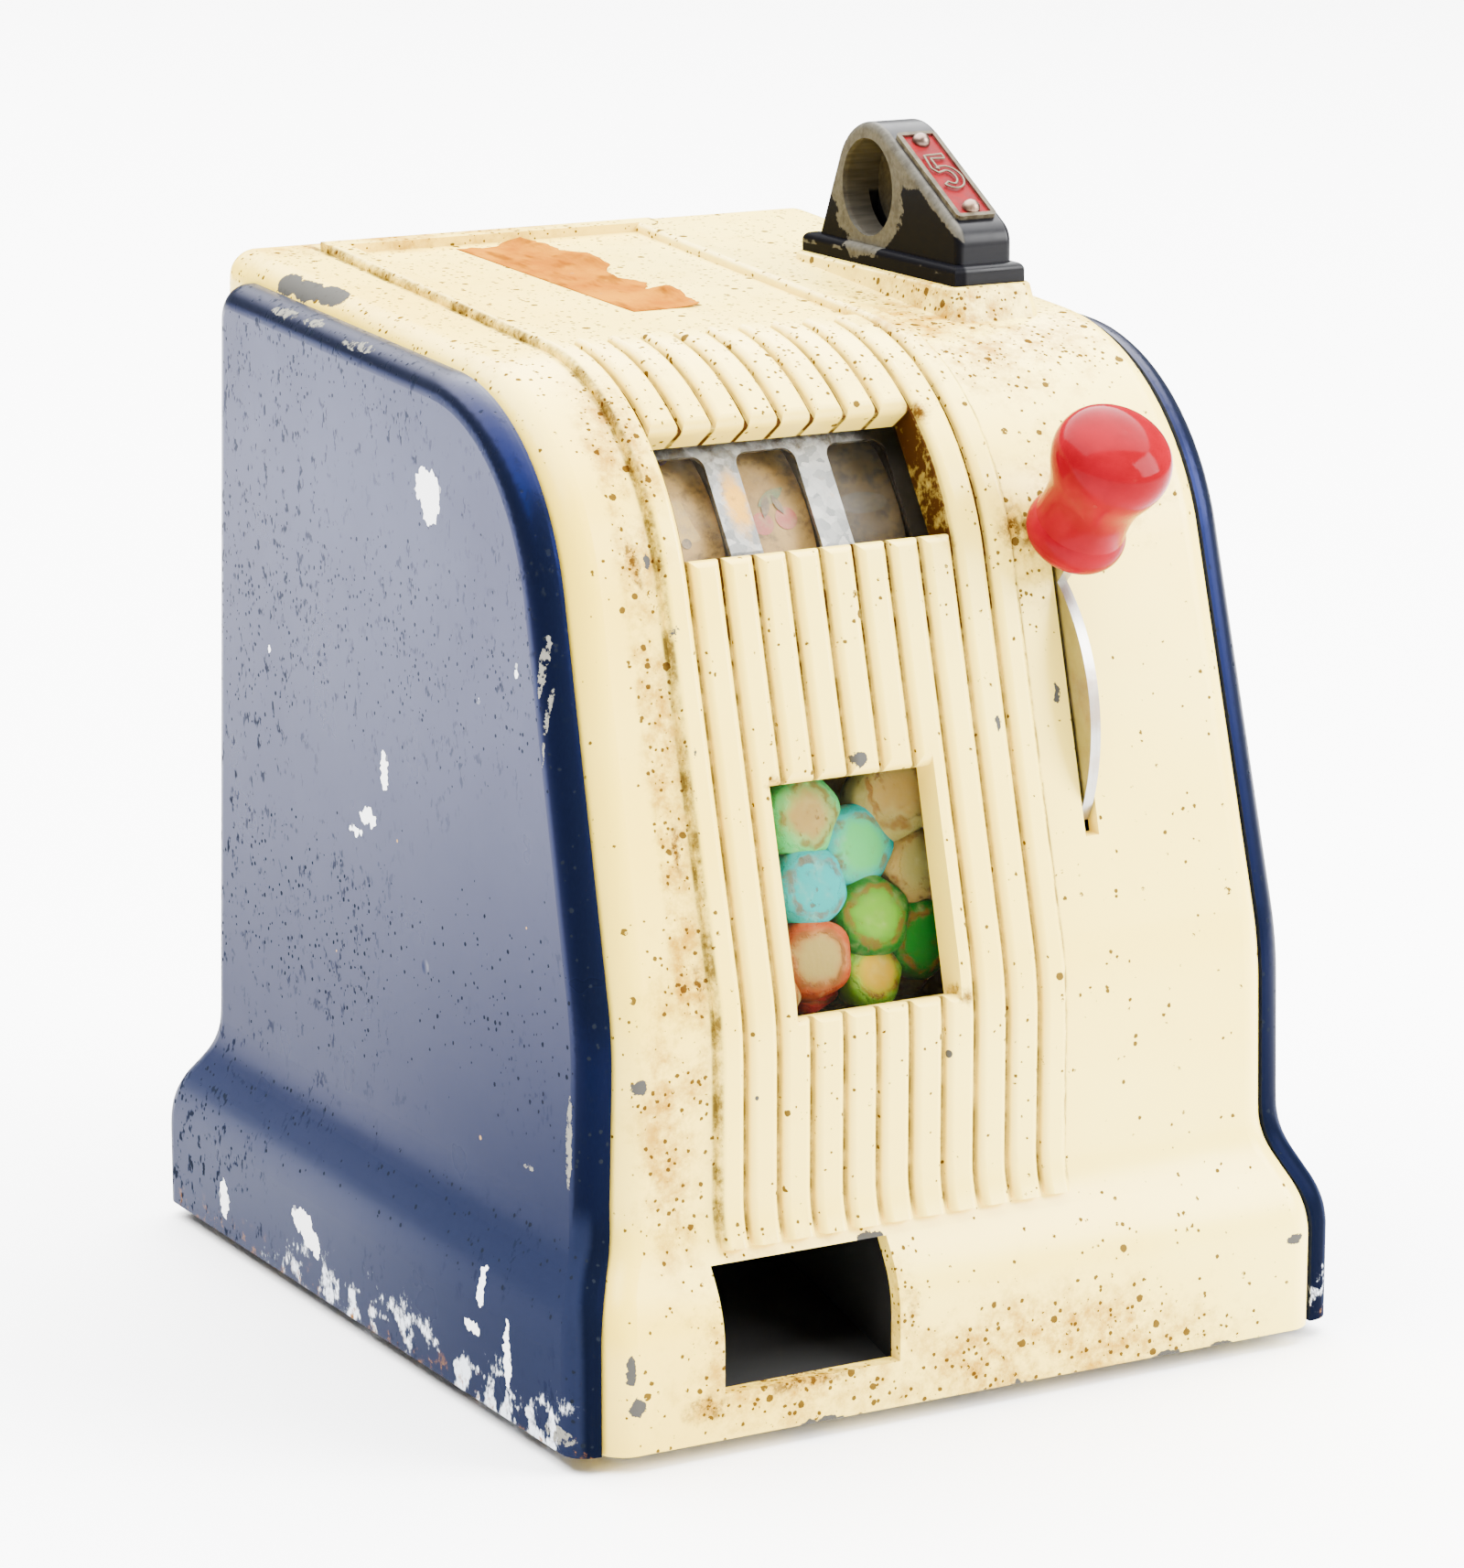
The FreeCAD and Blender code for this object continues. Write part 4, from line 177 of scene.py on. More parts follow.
# %% Finishes
class Finish:
    """A material over the point of the surface in millimetres, with pattern helpers."""

    def __init__(self, name, **sockets):
        self.material = bpy.data.materials.new(name)
        self.material.use_nodes = True
        self.tree = self.material.node_tree
        self.shader = self.tree.nodes["Principled BSDF"]
        metres = self.add("ShaderNodeTexCoord", output="Object")
        self.point = self.vector("SCALE", metres, scale=1 / MM)
        self.x, self.y, self.z = [
            self.add("ShaderNodeSeparateXYZ", inputs={0: self.point}, output=i) for i in range(3)
        ]
        self.set(**sockets)

    def add(self, kind, settings=None, inputs=None, output=0):
        return add_node(self.tree, kind, settings, inputs, output)

    def vector(self, operation, *terms, scale=None, output=0):
        inputs = dict(enumerate(terms))
        if scale is not None:
            inputs["Scale"] = scale
        return self.add("ShaderNodeVectorMath", {"operation": operation}, inputs, output)

    def noise(self, size, detail=3.0, rough=0.55, stretch=(1, 1, 1), shift=0.0, output=0):
        """Cloud from 0 to 1 with features of a given size in millimetres."""
        at = self.vector("MULTIPLY_ADD", self.point, tuple(1 / size / v for v in stretch), (shift,) * 3)
        inputs = {"Vector": at, "Scale": 1.0, "Detail": detail, "Roughness": rough}
        return self.add("ShaderNodeTexNoise", inputs=inputs, output=output)

    def specks(self, size, low, stretch=(1, 1, 1), shift=0.0, soft=0.05):
        """Ragged specks: the few places where a cloud rises over low."""
        return self.noise(size, detail=2, stretch=stretch, shift=shift).rise(low, low + soft)

    def cells(self, size, shift=0.0, output=0, at=None):
        """Cellular pattern: 0 distance from the cell's middle, 1 its random colour, 2 the middle."""
        at = self.vector("MULTIPLY_ADD", at or self.point, (1 / size,) * 3, (shift,) * 3)
        return self.add("ShaderNodeTexVoronoi", inputs={"Vector": at, "Scale": 1.0}, output=output)

    def dots(self, size, share, largest, shift=0.0, at=None):
        """Dots of up to a given radius in a share of cells of a given size, in millimetres."""
        colour = self.cells(size, shift, 1, at)
        chance, bulk = (self.add("ShaderNodeSeparateColor", inputs={0: colour}, output=i) for i in (0, 1))
        radius = (bulk * 0.7 + 0.3) * (largest / size)
        inside = (radius - self.cells(size, shift, 0, at)).rise(0, 0.1 / size)
        return inside * (chance + share - 1).rise(0, 0.01)

    def shards(self, size, shift=0.0):
        """The middle of the cell that the point is in, so outlines break along straight edges."""
        middle = self.vector("SUBTRACT", self.cells(size, shift, 2), (shift,) * 3)
        return self.vector("SCALE", middle, scale=size)

    def warped(self, amount, size):
        """The point moved about by up to half of amount, for ragged outlines."""
        drift = self.noise(size, detail=4, rough=0.7, output=1)
        drift = self.vector("SUBTRACT", drift, (0.5, 0.5, 0.5))
        return self.vector("ADD", self.point, self.vector("SCALE", drift, scale=amount))

    def patches(self, places, at=None, soft=0.18):
        """1 inside any of the ellipsoids given as (x, y, z, half lengths along x, y, z)."""
        total = None
        for x, y, z, *half in places:
            local = self.vector("SUBTRACT", at or self.point, (x, y, z))
            local = self.vector("DIVIDE", local, tuple(half))
            inside = self.vector("LENGTH", local, output=1).fall(1 - soft, 1)
            total = inside if total is None else total.either(inside)
        return total

    def mix(self, factor, under, over):
        """Colour over laid on colour under where factor is 1."""
        settings = {"data_type": "RGBA"}
        inputs = {0: factor, 6: tone(under), 7: tone(over)}
        return self.add("ShaderNodeMix", settings, inputs, output=2)

    def blend(self, factor, under, over):
        """Number over laid on number under where factor is 1."""
        return under + (over - under) * factor

    def bump(self, height, depth, share=1.0):
        """Normal from a height between 0 and 1 that stands for a depth in millimetres."""
        inputs = {"Height": height, "Distance": depth * MM, "Strength": share}
        return self.add("ShaderNodeBump", inputs=inputs)

    def chalk(self, factor, colour):
        """Lays a dull layer of a colour over the finish where factor is 1."""
        dull = {"Base Color": tone(colour), "Roughness": 0.9, "Specular IOR Level": 0.0}
        layer = self.add("ShaderNodeBsdfPrincipled", inputs=dull)
        shiny = Value(self.tree, self.shader.outputs[0])
        both = self.add("ShaderNodeMixShader", inputs={0: factor, 1: shiny, 2: layer})
        self.tree.links.new(both.socket, self.tree.nodes["Material Output"].inputs["Surface"])
        return self

    def set(self, **sockets):
        for name, term in sockets.items():
            socket = self.shader.inputs[name.replace("_", " ").title().replace("Ior", "IOR")]
            if isinstance(term, Value):
                self.tree.links.new(term.socket, socket)
            else:
                socket.default_value = tone(term)
        return self


def tone(colour):
    """Gives a colour triple its alpha and leaves everything else alone."""
    return (*colour, 1.0) if isinstance(colour, tuple) and len(colour) == 3 else colour


def dress(finish, *names):
    """Gives CAD solids a finish in every material slot."""
    for name in names:
        slots = NODES[name].material_slots
        for slot in slots:
            slot.material = finish.material


# %% Floor and lights
FLOOR_SIDE = 12000.0
floor_finish = Finish("white_sweep", base_color=(0.96, 0.96, 0.96), roughness=0.7)
corners = np.array([(-1, -1, 0), (1, -1, 0), (1, 1, 0), (-1, 1, 0)]) * FLOOR_SIDE / 2
mesh_piece("floor", corners, [np.array([(0, 1, 2, 3)])], None, floor_finish)

world = bpy.data.worlds.new("dim_room")
world.use_nodes = True
world.node_tree.nodes["Background"].inputs["Color"].default_value = (1, 1, 1, 1)
world.node_tree.nodes["Background"].inputs["Strength"].default_value = 0.45
bpy.context.scene.world = world


def softbox(name, place, target, width, height, watts):
    """Large area light that faces a target."""
    data = bpy.data.lights.new(name, "AREA")
    data.shape = "RECTANGLE"
    data.size, data.size_y, data.energy = width, height, watts
    light = bpy.data.objects.new(name, data)
    light.location = place
    light.rotation_euler = (Vector(target) - Vector(place)).to_track_quat("-Z", "Y").to_euler()
    bpy.context.scene.collection.objects.link(light)


MIDDLE, BEHIND = (0, 0, 0.12), (0.3, 1.6, 0)
softbox("sky_softbox", (0.3, 1.6, 3.0), BEHIND, width=6, height=6, watts=2150)
softbox("right_softbox", (1.0, -0.9, 0.8), MIDDLE, width=0.8, height=0.8, watts=90)
print("floor, room and two softboxes")

# %% [markdown]
# ## Cream enamel on the casting
# Stoved cream enamel over a grey casting, yellowed with age and painted paler towards the right as
# painted light. Dirt and rust lie in the grooves between the reeds and in the hollow beside them,
# freckles of rust dot the top, and the edges are chipped to the metal. A painted texture could show
# this, but the reeds repeat at an even pitch, so the grooves are found by arithmetic on x, and single
# chips are ellipsoids with ragged rims. The inside of the outlet is painted near black as painted shade.

# %% Cream enamel
GROOVE_START, GROOVE_PITCH, GROOVE_LAST = -54.0, 8.4, 21.6
REED_OUTER = 7.0
VALLEY_LEFT = -67.2
OUTLET_LEFT, OUTLET_RIGHT, OUTLET_FRONT, OUTLET_TOP = -64.5, -20.5, -102, 45
# Middle and half lengths of each stained, chipped or rusty place, in millimetres.
CREAM_FOUL = [
    (-46, -108, 22, 50, 30, 34), (48, -30, 236, 52, 70, 34), (20, -110, 10, 75, 20, 26),
    (34, -76, 190, 14, 18, 22), (-62, -60, 215, 12, 40, 40), (-30, 100, 240, 90, 24, 20),
    (-72, -96, 70, 14, 24, 60), (52, -66, 196, 34, 30, 26),
]
CREAM_CHIPS = [
    (-80, 72, 238, 3.4, 6, 5), (-79, 63, 237, 2.6, 8, 5), (-77.5, 52, 236, 3, 7, 5),
    (-78.6, -69.8, 208.8, 1.2, 2, 2), (-59.4, -78.6, 176.2, 1.2, 2, 4.5), (-58.7, -85.3, 151, 1.2, 2, 3.4),
    (-59.6, -87.9, 141.5, 0.9, 2, 2.6), (-17.8, -88, 147, 2.0, 3, 1.8), (26, -100.6, 62, 1.4, 2, 1.8),
    (36, -84, 155, 0.7, 2, 2.6), (18.4, -87, 150.6, 0.6, 2, 1.8), (-79.6, -100.5, 83.5, 1.8, 3, 1.8),
    (-87.7, -111, 23.6, 1.2, 3, 3.4), (-86, -111, 15, 2, 3, 2.2), (-24, -104.5, 42, 3.6, 3, 1.6),
    (86, -111, 26, 2.4, 3, 1.2), (-63, -73, 193, 0.8, 2, 1.8),
]
CREAM_RUST = [
    (29, -74, 192, 7, 8, 6), (35, -75, 190, 5, 8, 7), (13, -60, 218, 5, 6, 4),
    (12, -73, 190.5, 5, 5, 3), (2, -99, 93, 4, 6, 3.4), (-39, -90, 144, 4, 5, 3),
    (-66.5, -74, 193, 2.4, 6, 12), (-65, -90, 132, 2, 5, 9), (-64, -98, 104, 1.6, 5, 7),
    (-17, -108, 27, 3, 6, 9), (-69, -111, 12, 7, 5, 5), (-44, -110, 14, 18, 6, 2.4),
]


def cream_wear(paint):
    """Shares of grime, yellow stain and rust at the point, each from 0 to 1."""
    across = (paint.x - GROOVE_START) / GROOVE_PITCH
    nearest = ((across + 0.5).math("FRACT") - 0.5).size() * GROOVE_PITCH
    front = paint.y.fall(-22, -20) * paint.z.rise(45, 48)
    among = paint.x.rise(GROOVE_START - 2, GROOVE_START - 1)
    among = among * paint.x.fall(GROOVE_LAST + 1, GROOVE_LAST + 2)
    groove = nearest.fall(0.3, 0.95) * front * among
    left_edge = paint.x.off_line(GROOVE_START - REED_OUTER, 1.3)
    right_edge = paint.x.off_line(GROOVE_LAST + REED_OUTER, 1.3)
    edge_line = left_edge.either(right_edge) * paint.z.rise(45, 48)
    grime = paint.noise(9, detail=6, rough=0.75).rise(0.34, 0.62)
    upper = paint.z.rise(150, 200)
    dirty = (groove * (0.4 + grime * 0.5 + upper * 0.3)).either(edge_line * grime * 0.9)

    valley = paint.x.off_line(VALLEY_LEFT + 1.5, 7) * paint.z.rise(50, 90) * paint.y.fall(-60, -40)
    on_top = paint.z.rise(212, 232)
    foul = paint.patches(CREAM_FOUL, soft=0.75).either(valley).either(on_top * 0.3)
    heavy = paint.patches(CREAM_RUST, at=paint.warped(7, 5), soft=0.8)
    cloud = paint.noise(14, detail=7, rough=0.72, shift=7)
    fine = paint.noise(3.6, detail=5, rough=0.7, shift=13)
    stain = (cloud * 0.6 + fine * 0.4 + foul * 0.14).rise(0.51, 0.76) * (foul * 0.9 + 0.1)
    stain = stain.either(heavy * 0.85)
    ragged = paint.warped(0.9, 1.3)
    share = (cloud - 0.5) * 1.8 + foul * 0.55 + on_top * 0.4 + heavy * 0.4 + 0.06
    freckles = paint.dots(1.5, share, 0.6, shift=9, at=ragged)
    freckles = freckles.either(paint.dots(4.4, share * 0.8, 1.15, shift=4, at=ragged))
    crust = heavy * paint.noise(2.2, detail=5, rough=0.7, shift=4).rise(0.42, 0.58)
    return dirty, stain, freckles.either(crust)


def cream_enamel():
    paint = Finish("cream_enamel", specular_ior_level=0.4)
    dirty, stain, rust = cream_wear(paint)
    chip = paint.patches(CREAM_CHIPS, at=paint.warped(3.2, 2.6), soft=0.06)
    low_edge = (paint.z + paint.noise(13, detail=4, rough=0.6, shift=1) * 16).fall(10.6, 10.9)
    chip = chip.either(low_edge).either(paint.dots(24, 0.2, 1.2, shift=3))
    # Painted shade: the casting inside the outlet opening is painted near black and rough, as the shade in
    # that recess.
    inside = paint.x.rise(OUTLET_LEFT - 0.5, OUTLET_LEFT + 0.5)
    inside = inside * paint.x.fall(OUTLET_RIGHT - 0.5, OUTLET_RIGHT + 0.5)
    inside = inside * paint.y.rise(OUTLET_FRONT - 1, OUTLET_FRONT + 1)
    inside = inside * paint.z.fall(OUTLET_TOP - 1, OUTLET_TOP + 1)

    # Yellowing in a cloud plus painted light: the cream is painted paler towards the right, as if lit more
    # from that side.
    yellowing_and_side_light = paint.noise(60, detail=2, shift=11).rise(0.3, 0.7) * 0.4 + paint.x.fall(-80, 50) * 0.6
    colour = paint.mix(yellowing_and_side_light, (0.86, 0.67, 0.13), (0.80, 0.55, 0.038))
    colour = paint.mix(stain, colour, (0.34, 0.17, 0.002))
    colour = paint.mix(dirty, colour, (0.035, 0.013, 0.003))
    colour = paint.mix(rust * 0.92, colour, (0.040, 0.013, 0.003))
    colour = paint.mix(chip, colour, (0.050, 0.048, 0.043))
    # Painted shade inside the outlet opening.
    colour = paint.mix(inside, colour, (0.012, 0.010, 0.008))
    rough = paint.blend(rust.either(dirty), 0.24 + paint.noise(30, shift=6) * 0.12, 0.8)
    rough = paint.blend(chip.either(inside), rough, 0.6)
    height = paint.noise(3.2, detail=2) * 0.10 + rust * 0.3 - chip
    paint.set(base_color=colour, roughness=rough, normal=paint.bump(height, 0.14, 0.6))
    return paint.chalk(rust.either(dirty).either(stain * 0.8).either(chip * 0.9), colour)


dress(cream_enamel(), "front_casting")
print("cream enamel with", len(CREAM_CHIPS), "chips and", len(CREAM_RUST), "rusty places")

# %% [markdown]
# ## Blue enamel on the pressed panels
# Dark blue gloss enamel, peppered with fine black specks where moisture came through. White
# undercoat shows as torn flakes low on the side, and the front bend is scraped along its line. The
# bends are painted darker than the flat faces as painted shade. One glossy shader could hold all
# this, but flakes and specks don't shine, so they lie on a second, dull shader, which also takes over
# more towards the floor, and at the front low corner as painted shade.

# %% Blue enamel
WHITE_FLAKES = [
    (-89, -19, 203, 4, 6.4, 4.4), (-89, -21, 199, 4, 4.2, 4.6), (-90.5, 1.8, 134, 4, 2.0, 4.6),
    (-90.8, 10, 121.5, 4, 4.6, 2.0), (-90.8, 17, 117, 4, 3.6, 0.9), (-100, 30.5, 20, 4, 5.4, 3.2),
    (-100, 27, 18, 4, 3, 4.6), (-100, 22.9, 16, 4, 2, 3.6), (-100, 75, 13.4, 4, 2.6, 4.8),
    (-99.7, -62.7, 31, 4, 1.7, 5.4), (-100, -59, 20.4, 4, 3.6, 1.4), (-100, -76, 19, 4, 1.6, 8.5),
    (-90, 64, 151, 4, 0.5, 1.0), (-89.6, -63.5, 169.5, 4, 0.8, 1.6), (-91, -45, 160, 4, 0.4, 0.9),
]
GREY_SCRAPES = [
    (-92, -90.8, 70.4, 4, 1.3, 11), (-89.5, -73.5, 174, 4, 0.9, 9), (-89.5, -76, 160, 4, 0.5, 10),
    (-88, -62, 214, 4, 1.4, 2.2), (-88, -55, 221, 5, 3, 1.2), (-86, 20, 229, 5, 8, 0.9),
    (-86, 45, 231, 5, 5, 0.8), (-88, 60, 231.5, 5, 7, 1.1), (-100, -100, 8, 5, 6, 2.2),
    (-92, -72, 60, 4, 2.4, 0.7),
]
DENT = (-91.4, -20.2, 93.2, 3, 2.0, 2.0)


def blue_enamel():
    paint = Finish("blue_enamel", specular_ior_level=0.17, specular_tint=(0.05, 0.12, 1.0))
    # Painted shade: where the normal turns away from x, at the bends, the navy is painted darker than on
    # the flat faces, in the gloss and in the dull layer, and the dust lies only on the flat faces.
    normal = paint.add("ShaderNodeNewGeometry", output=1)
    outward = paint.add("ShaderNodeSeparateXYZ", inputs={0: normal}).size()
    flat = outward.rise(0.93, 0.99).either(outward.rise(0.4, 0.7) * paint.z.fall(50, 58))
    many = paint.noise(46, detail=4, shift=3) * 0.5
    many = many + paint.z.rise(20, 230) * 0.10 + paint.y.rise(-60, 110) * 0.12
    holes = paint.specks(1.5, 0.50, stretch=(1, 1, 1.7), shift=2, soft=0.10) * many.rise(0.26, 0.46)
    peppered = paint.dots(1.9, (many - 0.14) * 1.9, 0.62, shift=6, at=paint.warped(0.7, 1.1))
    dark = (holes * paint.specks(4.5, 0.52, shift=15, soft=0.1)).either(peppered)
    tan = paint.dots(15, 0.25, 0.7, shift=12)
    flakes = paint.patches(WHITE_FLAKES, at=paint.shards(1.2), soft=0.02)
    flakes = flakes.either(paint.dots(19, 0.25, 0.5, shift=8))
    lower = paint.noise(10, detail=3, shift=6).rise(0.40, 0.62)
    lower = lower * paint.z.fall(8, 24) * paint.y.fall(10, 90)
    grain = paint.noise(1.5, detail=5, rough=0.75, stretch=(1, 1, 1.8), shift=4)
    frost = (grain + lower * 0.5).rise(0.74, 0.94)
    scrape = paint.patches(GREY_SCRAPES, at=paint.warped(2.4, 2.0), soft=0.06)
    scrape = scrape * paint.noise(2.2, detail=4, rough=0.7, shift=14).rise(0.44, 0.50)
    rim = (paint.z + paint.noise(9, detail=5, shift=9) * 5).fall(4.6, 5.2)
    rust = paint.noise(5, detail=5, rough=0.7, shift=12).rise(0.54, 0.64) * paint.z.fall(4, 12)

    film = paint.z.rise(60, 230) * paint.noise(60, detail=4, shift=1).rise(0.2, 0.8)
    navy_with_shaded_bends = paint.mix(flat, (0.002, 0.003, 0.008), (0.004, 0.006, 0.024))
    dusty = film.either(paint.z.fall(28, 52)) * flat
    colour = paint.mix(dusty, navy_with_shaded_bends, (0.020, 0.025, 0.050))
    chalky_with_shaded_bends = paint.mix(flat, (0.002, 0.003, 0.008), (0.008, 0.011, 0.026))
    layer = paint.mix(dark, chalky_with_shaded_bends, (0.007, 0.009, 0.014))
    layer = paint.mix(tan, layer, (0.30, 0.18, 0.07))
    layer = paint.mix(scrape.either(rim), layer, (0.16, 0.155, 0.13))
    layer = paint.mix(frost, layer, (0.62, 0.66, 0.72))
    layer = paint.mix(flakes, layer, (0.80, 0.80, 0.80))
    layer = paint.mix(rust, layer, (0.20, 0.085, 0.02))
    # Painted shade: the dull layer takes over at the front low corner, so the gloss there stops mirroring
    # the bright floor and the side reads darker.
    front_low_shade = paint.y.fall(-100, 40) * paint.z.fall(20, 180)
    dull = paint.z.fall(20, 210) * 0.55 + front_low_shade * 0.3 + 0.1 + dark * 0.6
    # Besides the wear, this dull factor holds the painted shade of the front low corner, and it grows
    # towards the floor.
    worn = dull.either(tan).either(scrape).either(rim).either(frost).either(flakes).either(rust * 0.8)
    dent = paint.patches([DENT], soft=0.9)
    height = paint.noise(6, detail=2) * 0.12 - dark * 0.35 - flakes * 0.4 - dent * 2.5
    rough = 0.24 + paint.noise(24, shift=5) * 0.10
    paint.set(base_color=colour, roughness=rough, normal=paint.bump(height, 0.15, 0.5))
    return paint.chalk(worn, layer)


dress(blue_enamel(), "left_side_panel", "right_side_panel", "rear_panel", "rear_door")
print("blue enamel with", len(WHITE_FLAKES), "flakes")

# %% [markdown]
# ## Coin head
# The coin head is a black painted casting. Years of coins have worn the paint away round the
# hole, so the bare metal is a ring about the hole's axis whose rim wanders with a noise.

# %% Black paint worn to metal
HOLE_Y, HOLE_Z, HOLE_RADIUS = 20.8, 256.8, 11.6
HEAD_FACE_X, WORN_REACH, FOOT_EDGE_Z = 48.0, 4.6, 241.2
PLATE_MIDDLE = np.array((55.5, -2.55, 261.80))
PLATE_LEAN = math.radians(30)


def on_plate(paint):
    """Height of the point over the sloping plate's middle and its distance along the slope."""
    dy, dz = paint.y - float(PLATE_MIDDLE[1]), paint.z - float(PLATE_MIDDLE[2])
    over = dz * math.cos(PLATE_LEAN) - dy * math.sin(PLATE_LEAN)
    along = dy * math.cos(PLATE_LEAN) + dz * math.sin(PLATE_LEAN)
    return over, along


def worn_black():
    paint = Finish("worn_black", specular_ior_level=0.1)
    dy, dz = paint.y - HOLE_Y, paint.z - HOLE_Z
    away = (dy * dy + dz * dz).math("SQRT")
    wander = (paint.noise(6, detail=5, rough=0.65) - 0.5) * 9
    face = paint.x.fall(HEAD_FACE_X + 0.6, HEAD_FACE_X + 1.6)
    ring = (away + wander).fall(HOLE_RADIUS + WORN_REACH - 0.2, HOLE_RADIUS + WORN_REACH + 0.2)
    crown = (dz + wander).rise(1.8, 2.4) * paint.z.fall(270.5, 271.5)
    over, along = on_plate(paint)
    edge = (over + wander * 0.5).rise(-2.6, -2.2) * paint.x.fall(HEAD_FACE_X + 1.4, HEAD_FACE_X + 2.2)
    foot = (paint.z + wander * 0.25 - FOOT_EDGE_Z).size().fall(0.3, 0.5)
    foot = foot * paint.noise(9, shift=7).rise(0.5, 0.56)
    chips = paint.dots(5, 0.3, 0.5, shift=4, at=paint.warped(0.8, 1.2))
    bare = (ring.either(crown) * face).either(edge).either(foot).either(chips)
    # Painted shade: the wall of the coin hole is painted very dark metal as the shade inside the hole,
    # with lighter streaks from the brushed grain.
    shaded_bore = away.fall(HOLE_RADIUS + 0.1, HOLE_RADIUS + 0.4)
    shaded_bore = shaded_bore * paint.x.fall(58.5, 59) * paint.x.rise(48.3, 49)
    brushed = paint.noise(1.1, detail=4, stretch=(12, 1, 1))
    metal = paint.mix(brushed, (0.028, 0.026, 0.021), (0.085, 0.080, 0.066))
    tarnish = paint.noise(3, detail=5, shift=3).rise(0.5, 0.65) * 0.6
    metal = paint.mix(tarnish, metal, (0.030, 0.027, 0.022))
    colour = paint.mix(bare, (0.003, 0.003, 0.004), metal)
    colour = paint.mix(shaded_bore, colour, paint.mix(brushed, (0.015, 0.013, 0.010), (0.10, 0.09, 0.07)))
    rough = paint.blend(bare.either(shaded_bore), 0.22 + paint.noise(4, shift=2) * 0.2, 0.5)
    normal = paint.bump(brushed * 0.2 - bare, 0.08, 0.7)
    paint.set(base_color=colour, roughness=rough, metallic=bare.either(shaded_bore) * 0.5, normal=normal)
    return paint.chalk(face * 0.9, colour)


dress(worn_black(), "coin_head")
chute_paint = Finish("chute_black", roughness=0.5, specular_ior_level=0.3)
dress(chute_paint.set(base_color=(0.005, 0.005, 0.005)), "gum_chute")
print("coin head worn", WORN_REACH, "mm round its hole")


# %% [markdown]
# ## Knob, price plate and bare metals
# The knob is turned and lacquered red, with fine scratches and a few nicks. The bare metals differ
# mostly in their grain: brushed along x on shafts, spangled on galvanised sheet.

# %% Red knob and red plate
PLATE_HALF, PLATE_BORDER = (5.4, 16.5), 1.2


def red_lacquer():
    paint = Finish("red_lacquer", specular_ior_level=0.03)
    cloud = paint.noise(9, detail=4).rise(0.3, 0.7)
    scratch = paint.noise(1.6, detail=3, stretch=(9, 1, 3), shift=5).rise(0.66, 0.72)
    nick = paint.dots(6.5, 0.4, 0.6, shift=3)
    worn = (scratch * paint.noise(8, shift=9).rise(0.5, 0.65)).either(nick)
    colour = paint.mix(cloud, (0.130, 0.0001, 0.0035), (0.170, 0.0002, 0.0055))
    colour = paint.mix(worn * 0.6, colour, (0.16, 0.014, 0.010))
    rough = paint.blend(worn, 0.10 + cloud * 0.08, 0.5)
    normal = paint.bump(cloud * 0.3 - worn, 0.05, 0.6)
    return paint.set(base_color=colour, roughness=rough, normal=normal)


def plate_enamel():
    """Red field inside a border of dull metal, told apart by the distance from the plate's edges."""
    paint = Finish("plate_enamel", specular_ior_level=0.03)
    over, along = on_plate(paint)
    wide, tall = (half - PLATE_BORDER for half in PLATE_HALF)
    border = (paint.x - float(PLATE_MIDDLE[0])).size().rise(wide - 0.1, wide + 0.1)
    border = border.either(along.size().rise(tall - 0.1, tall + 0.1))
    cloud = paint.noise(2.6, detail=4).rise(0.35, 0.7)
    colour = paint.mix(cloud, (0.085, 0.0015, 0.003), (0.13, 0.004, 0.006))
    metal = paint.mix(cloud, (0.035, 0.028, 0.017), (0.080, 0.070, 0.048))
    height = paint.noise(0.9, detail=3) * 0.3 + border
    colour = paint.mix(border, colour, metal)
    paint.set(base_color=colour, metallic=border * 0.2, roughness=0.35 + cloud * 0.2)
    return paint.set(normal=paint.bump(height, 0.12, 0.7))


dress(red_lacquer(), "lever_knob")
dress(plate_enamel(), "price_plate")
print("red lacquer and plate enamel")


# %% Bare metals
def brushed(name, dark, light, rough, grain=(14, 1, 1), tarnish=0.3):
    """Metal with a grain stretched along one axis and brown tarnish in a cloud."""
    metal = Finish(name, metallic=1.0)
    lines = metal.noise(0.9, detail=4, stretch=grain)
    film = metal.noise(12, detail=5, shift=4).rise(0.5, 0.75) * tarnish
    colour = metal.mix(film, metal.mix(lines, dark, light), (0.22, 0.13, 0.07))
    rough = metal.blend(film, rough + lines * 0.12, 0.7)
    return metal.set(base_color=colour, roughness=rough, normal=metal.bump(lines, 0.02, 0.5))


def galvanised(name, dark, light, rust):
    """Zinc spangle: a cellular pattern whose cells differ in shade, with rust at places."""
    sheet = Finish(name)
    at = sheet.warped(1.5, 2.5)
    cells = sheet.add("ShaderNodeTexVoronoi", inputs={"Vector": at, "Scale": 0.45}, output=1)
    shade = sheet.add("ShaderNodeSeparateColor", inputs={0: cells})
    spoiled = sheet.noise(10, detail=5, rough=0.7, shift=3).rise(0.6, 0.72) * rust
    colour = sheet.mix(spoiled, sheet.mix(shade, dark, light), (0.36, 0.19, 0.06))
    rough = sheet.blend(spoiled, 0.36 + shade * 0.16, 0.8)
    return sheet.set(base_color=colour, roughness=rough, metallic=sheet.blend(spoiled, 0.8, 0.1))


MASK_RUST = [(-31, -54.7, 200, 4, 14, 9), (-30.4, -54.7, 189, 2.4, 9, 12)]


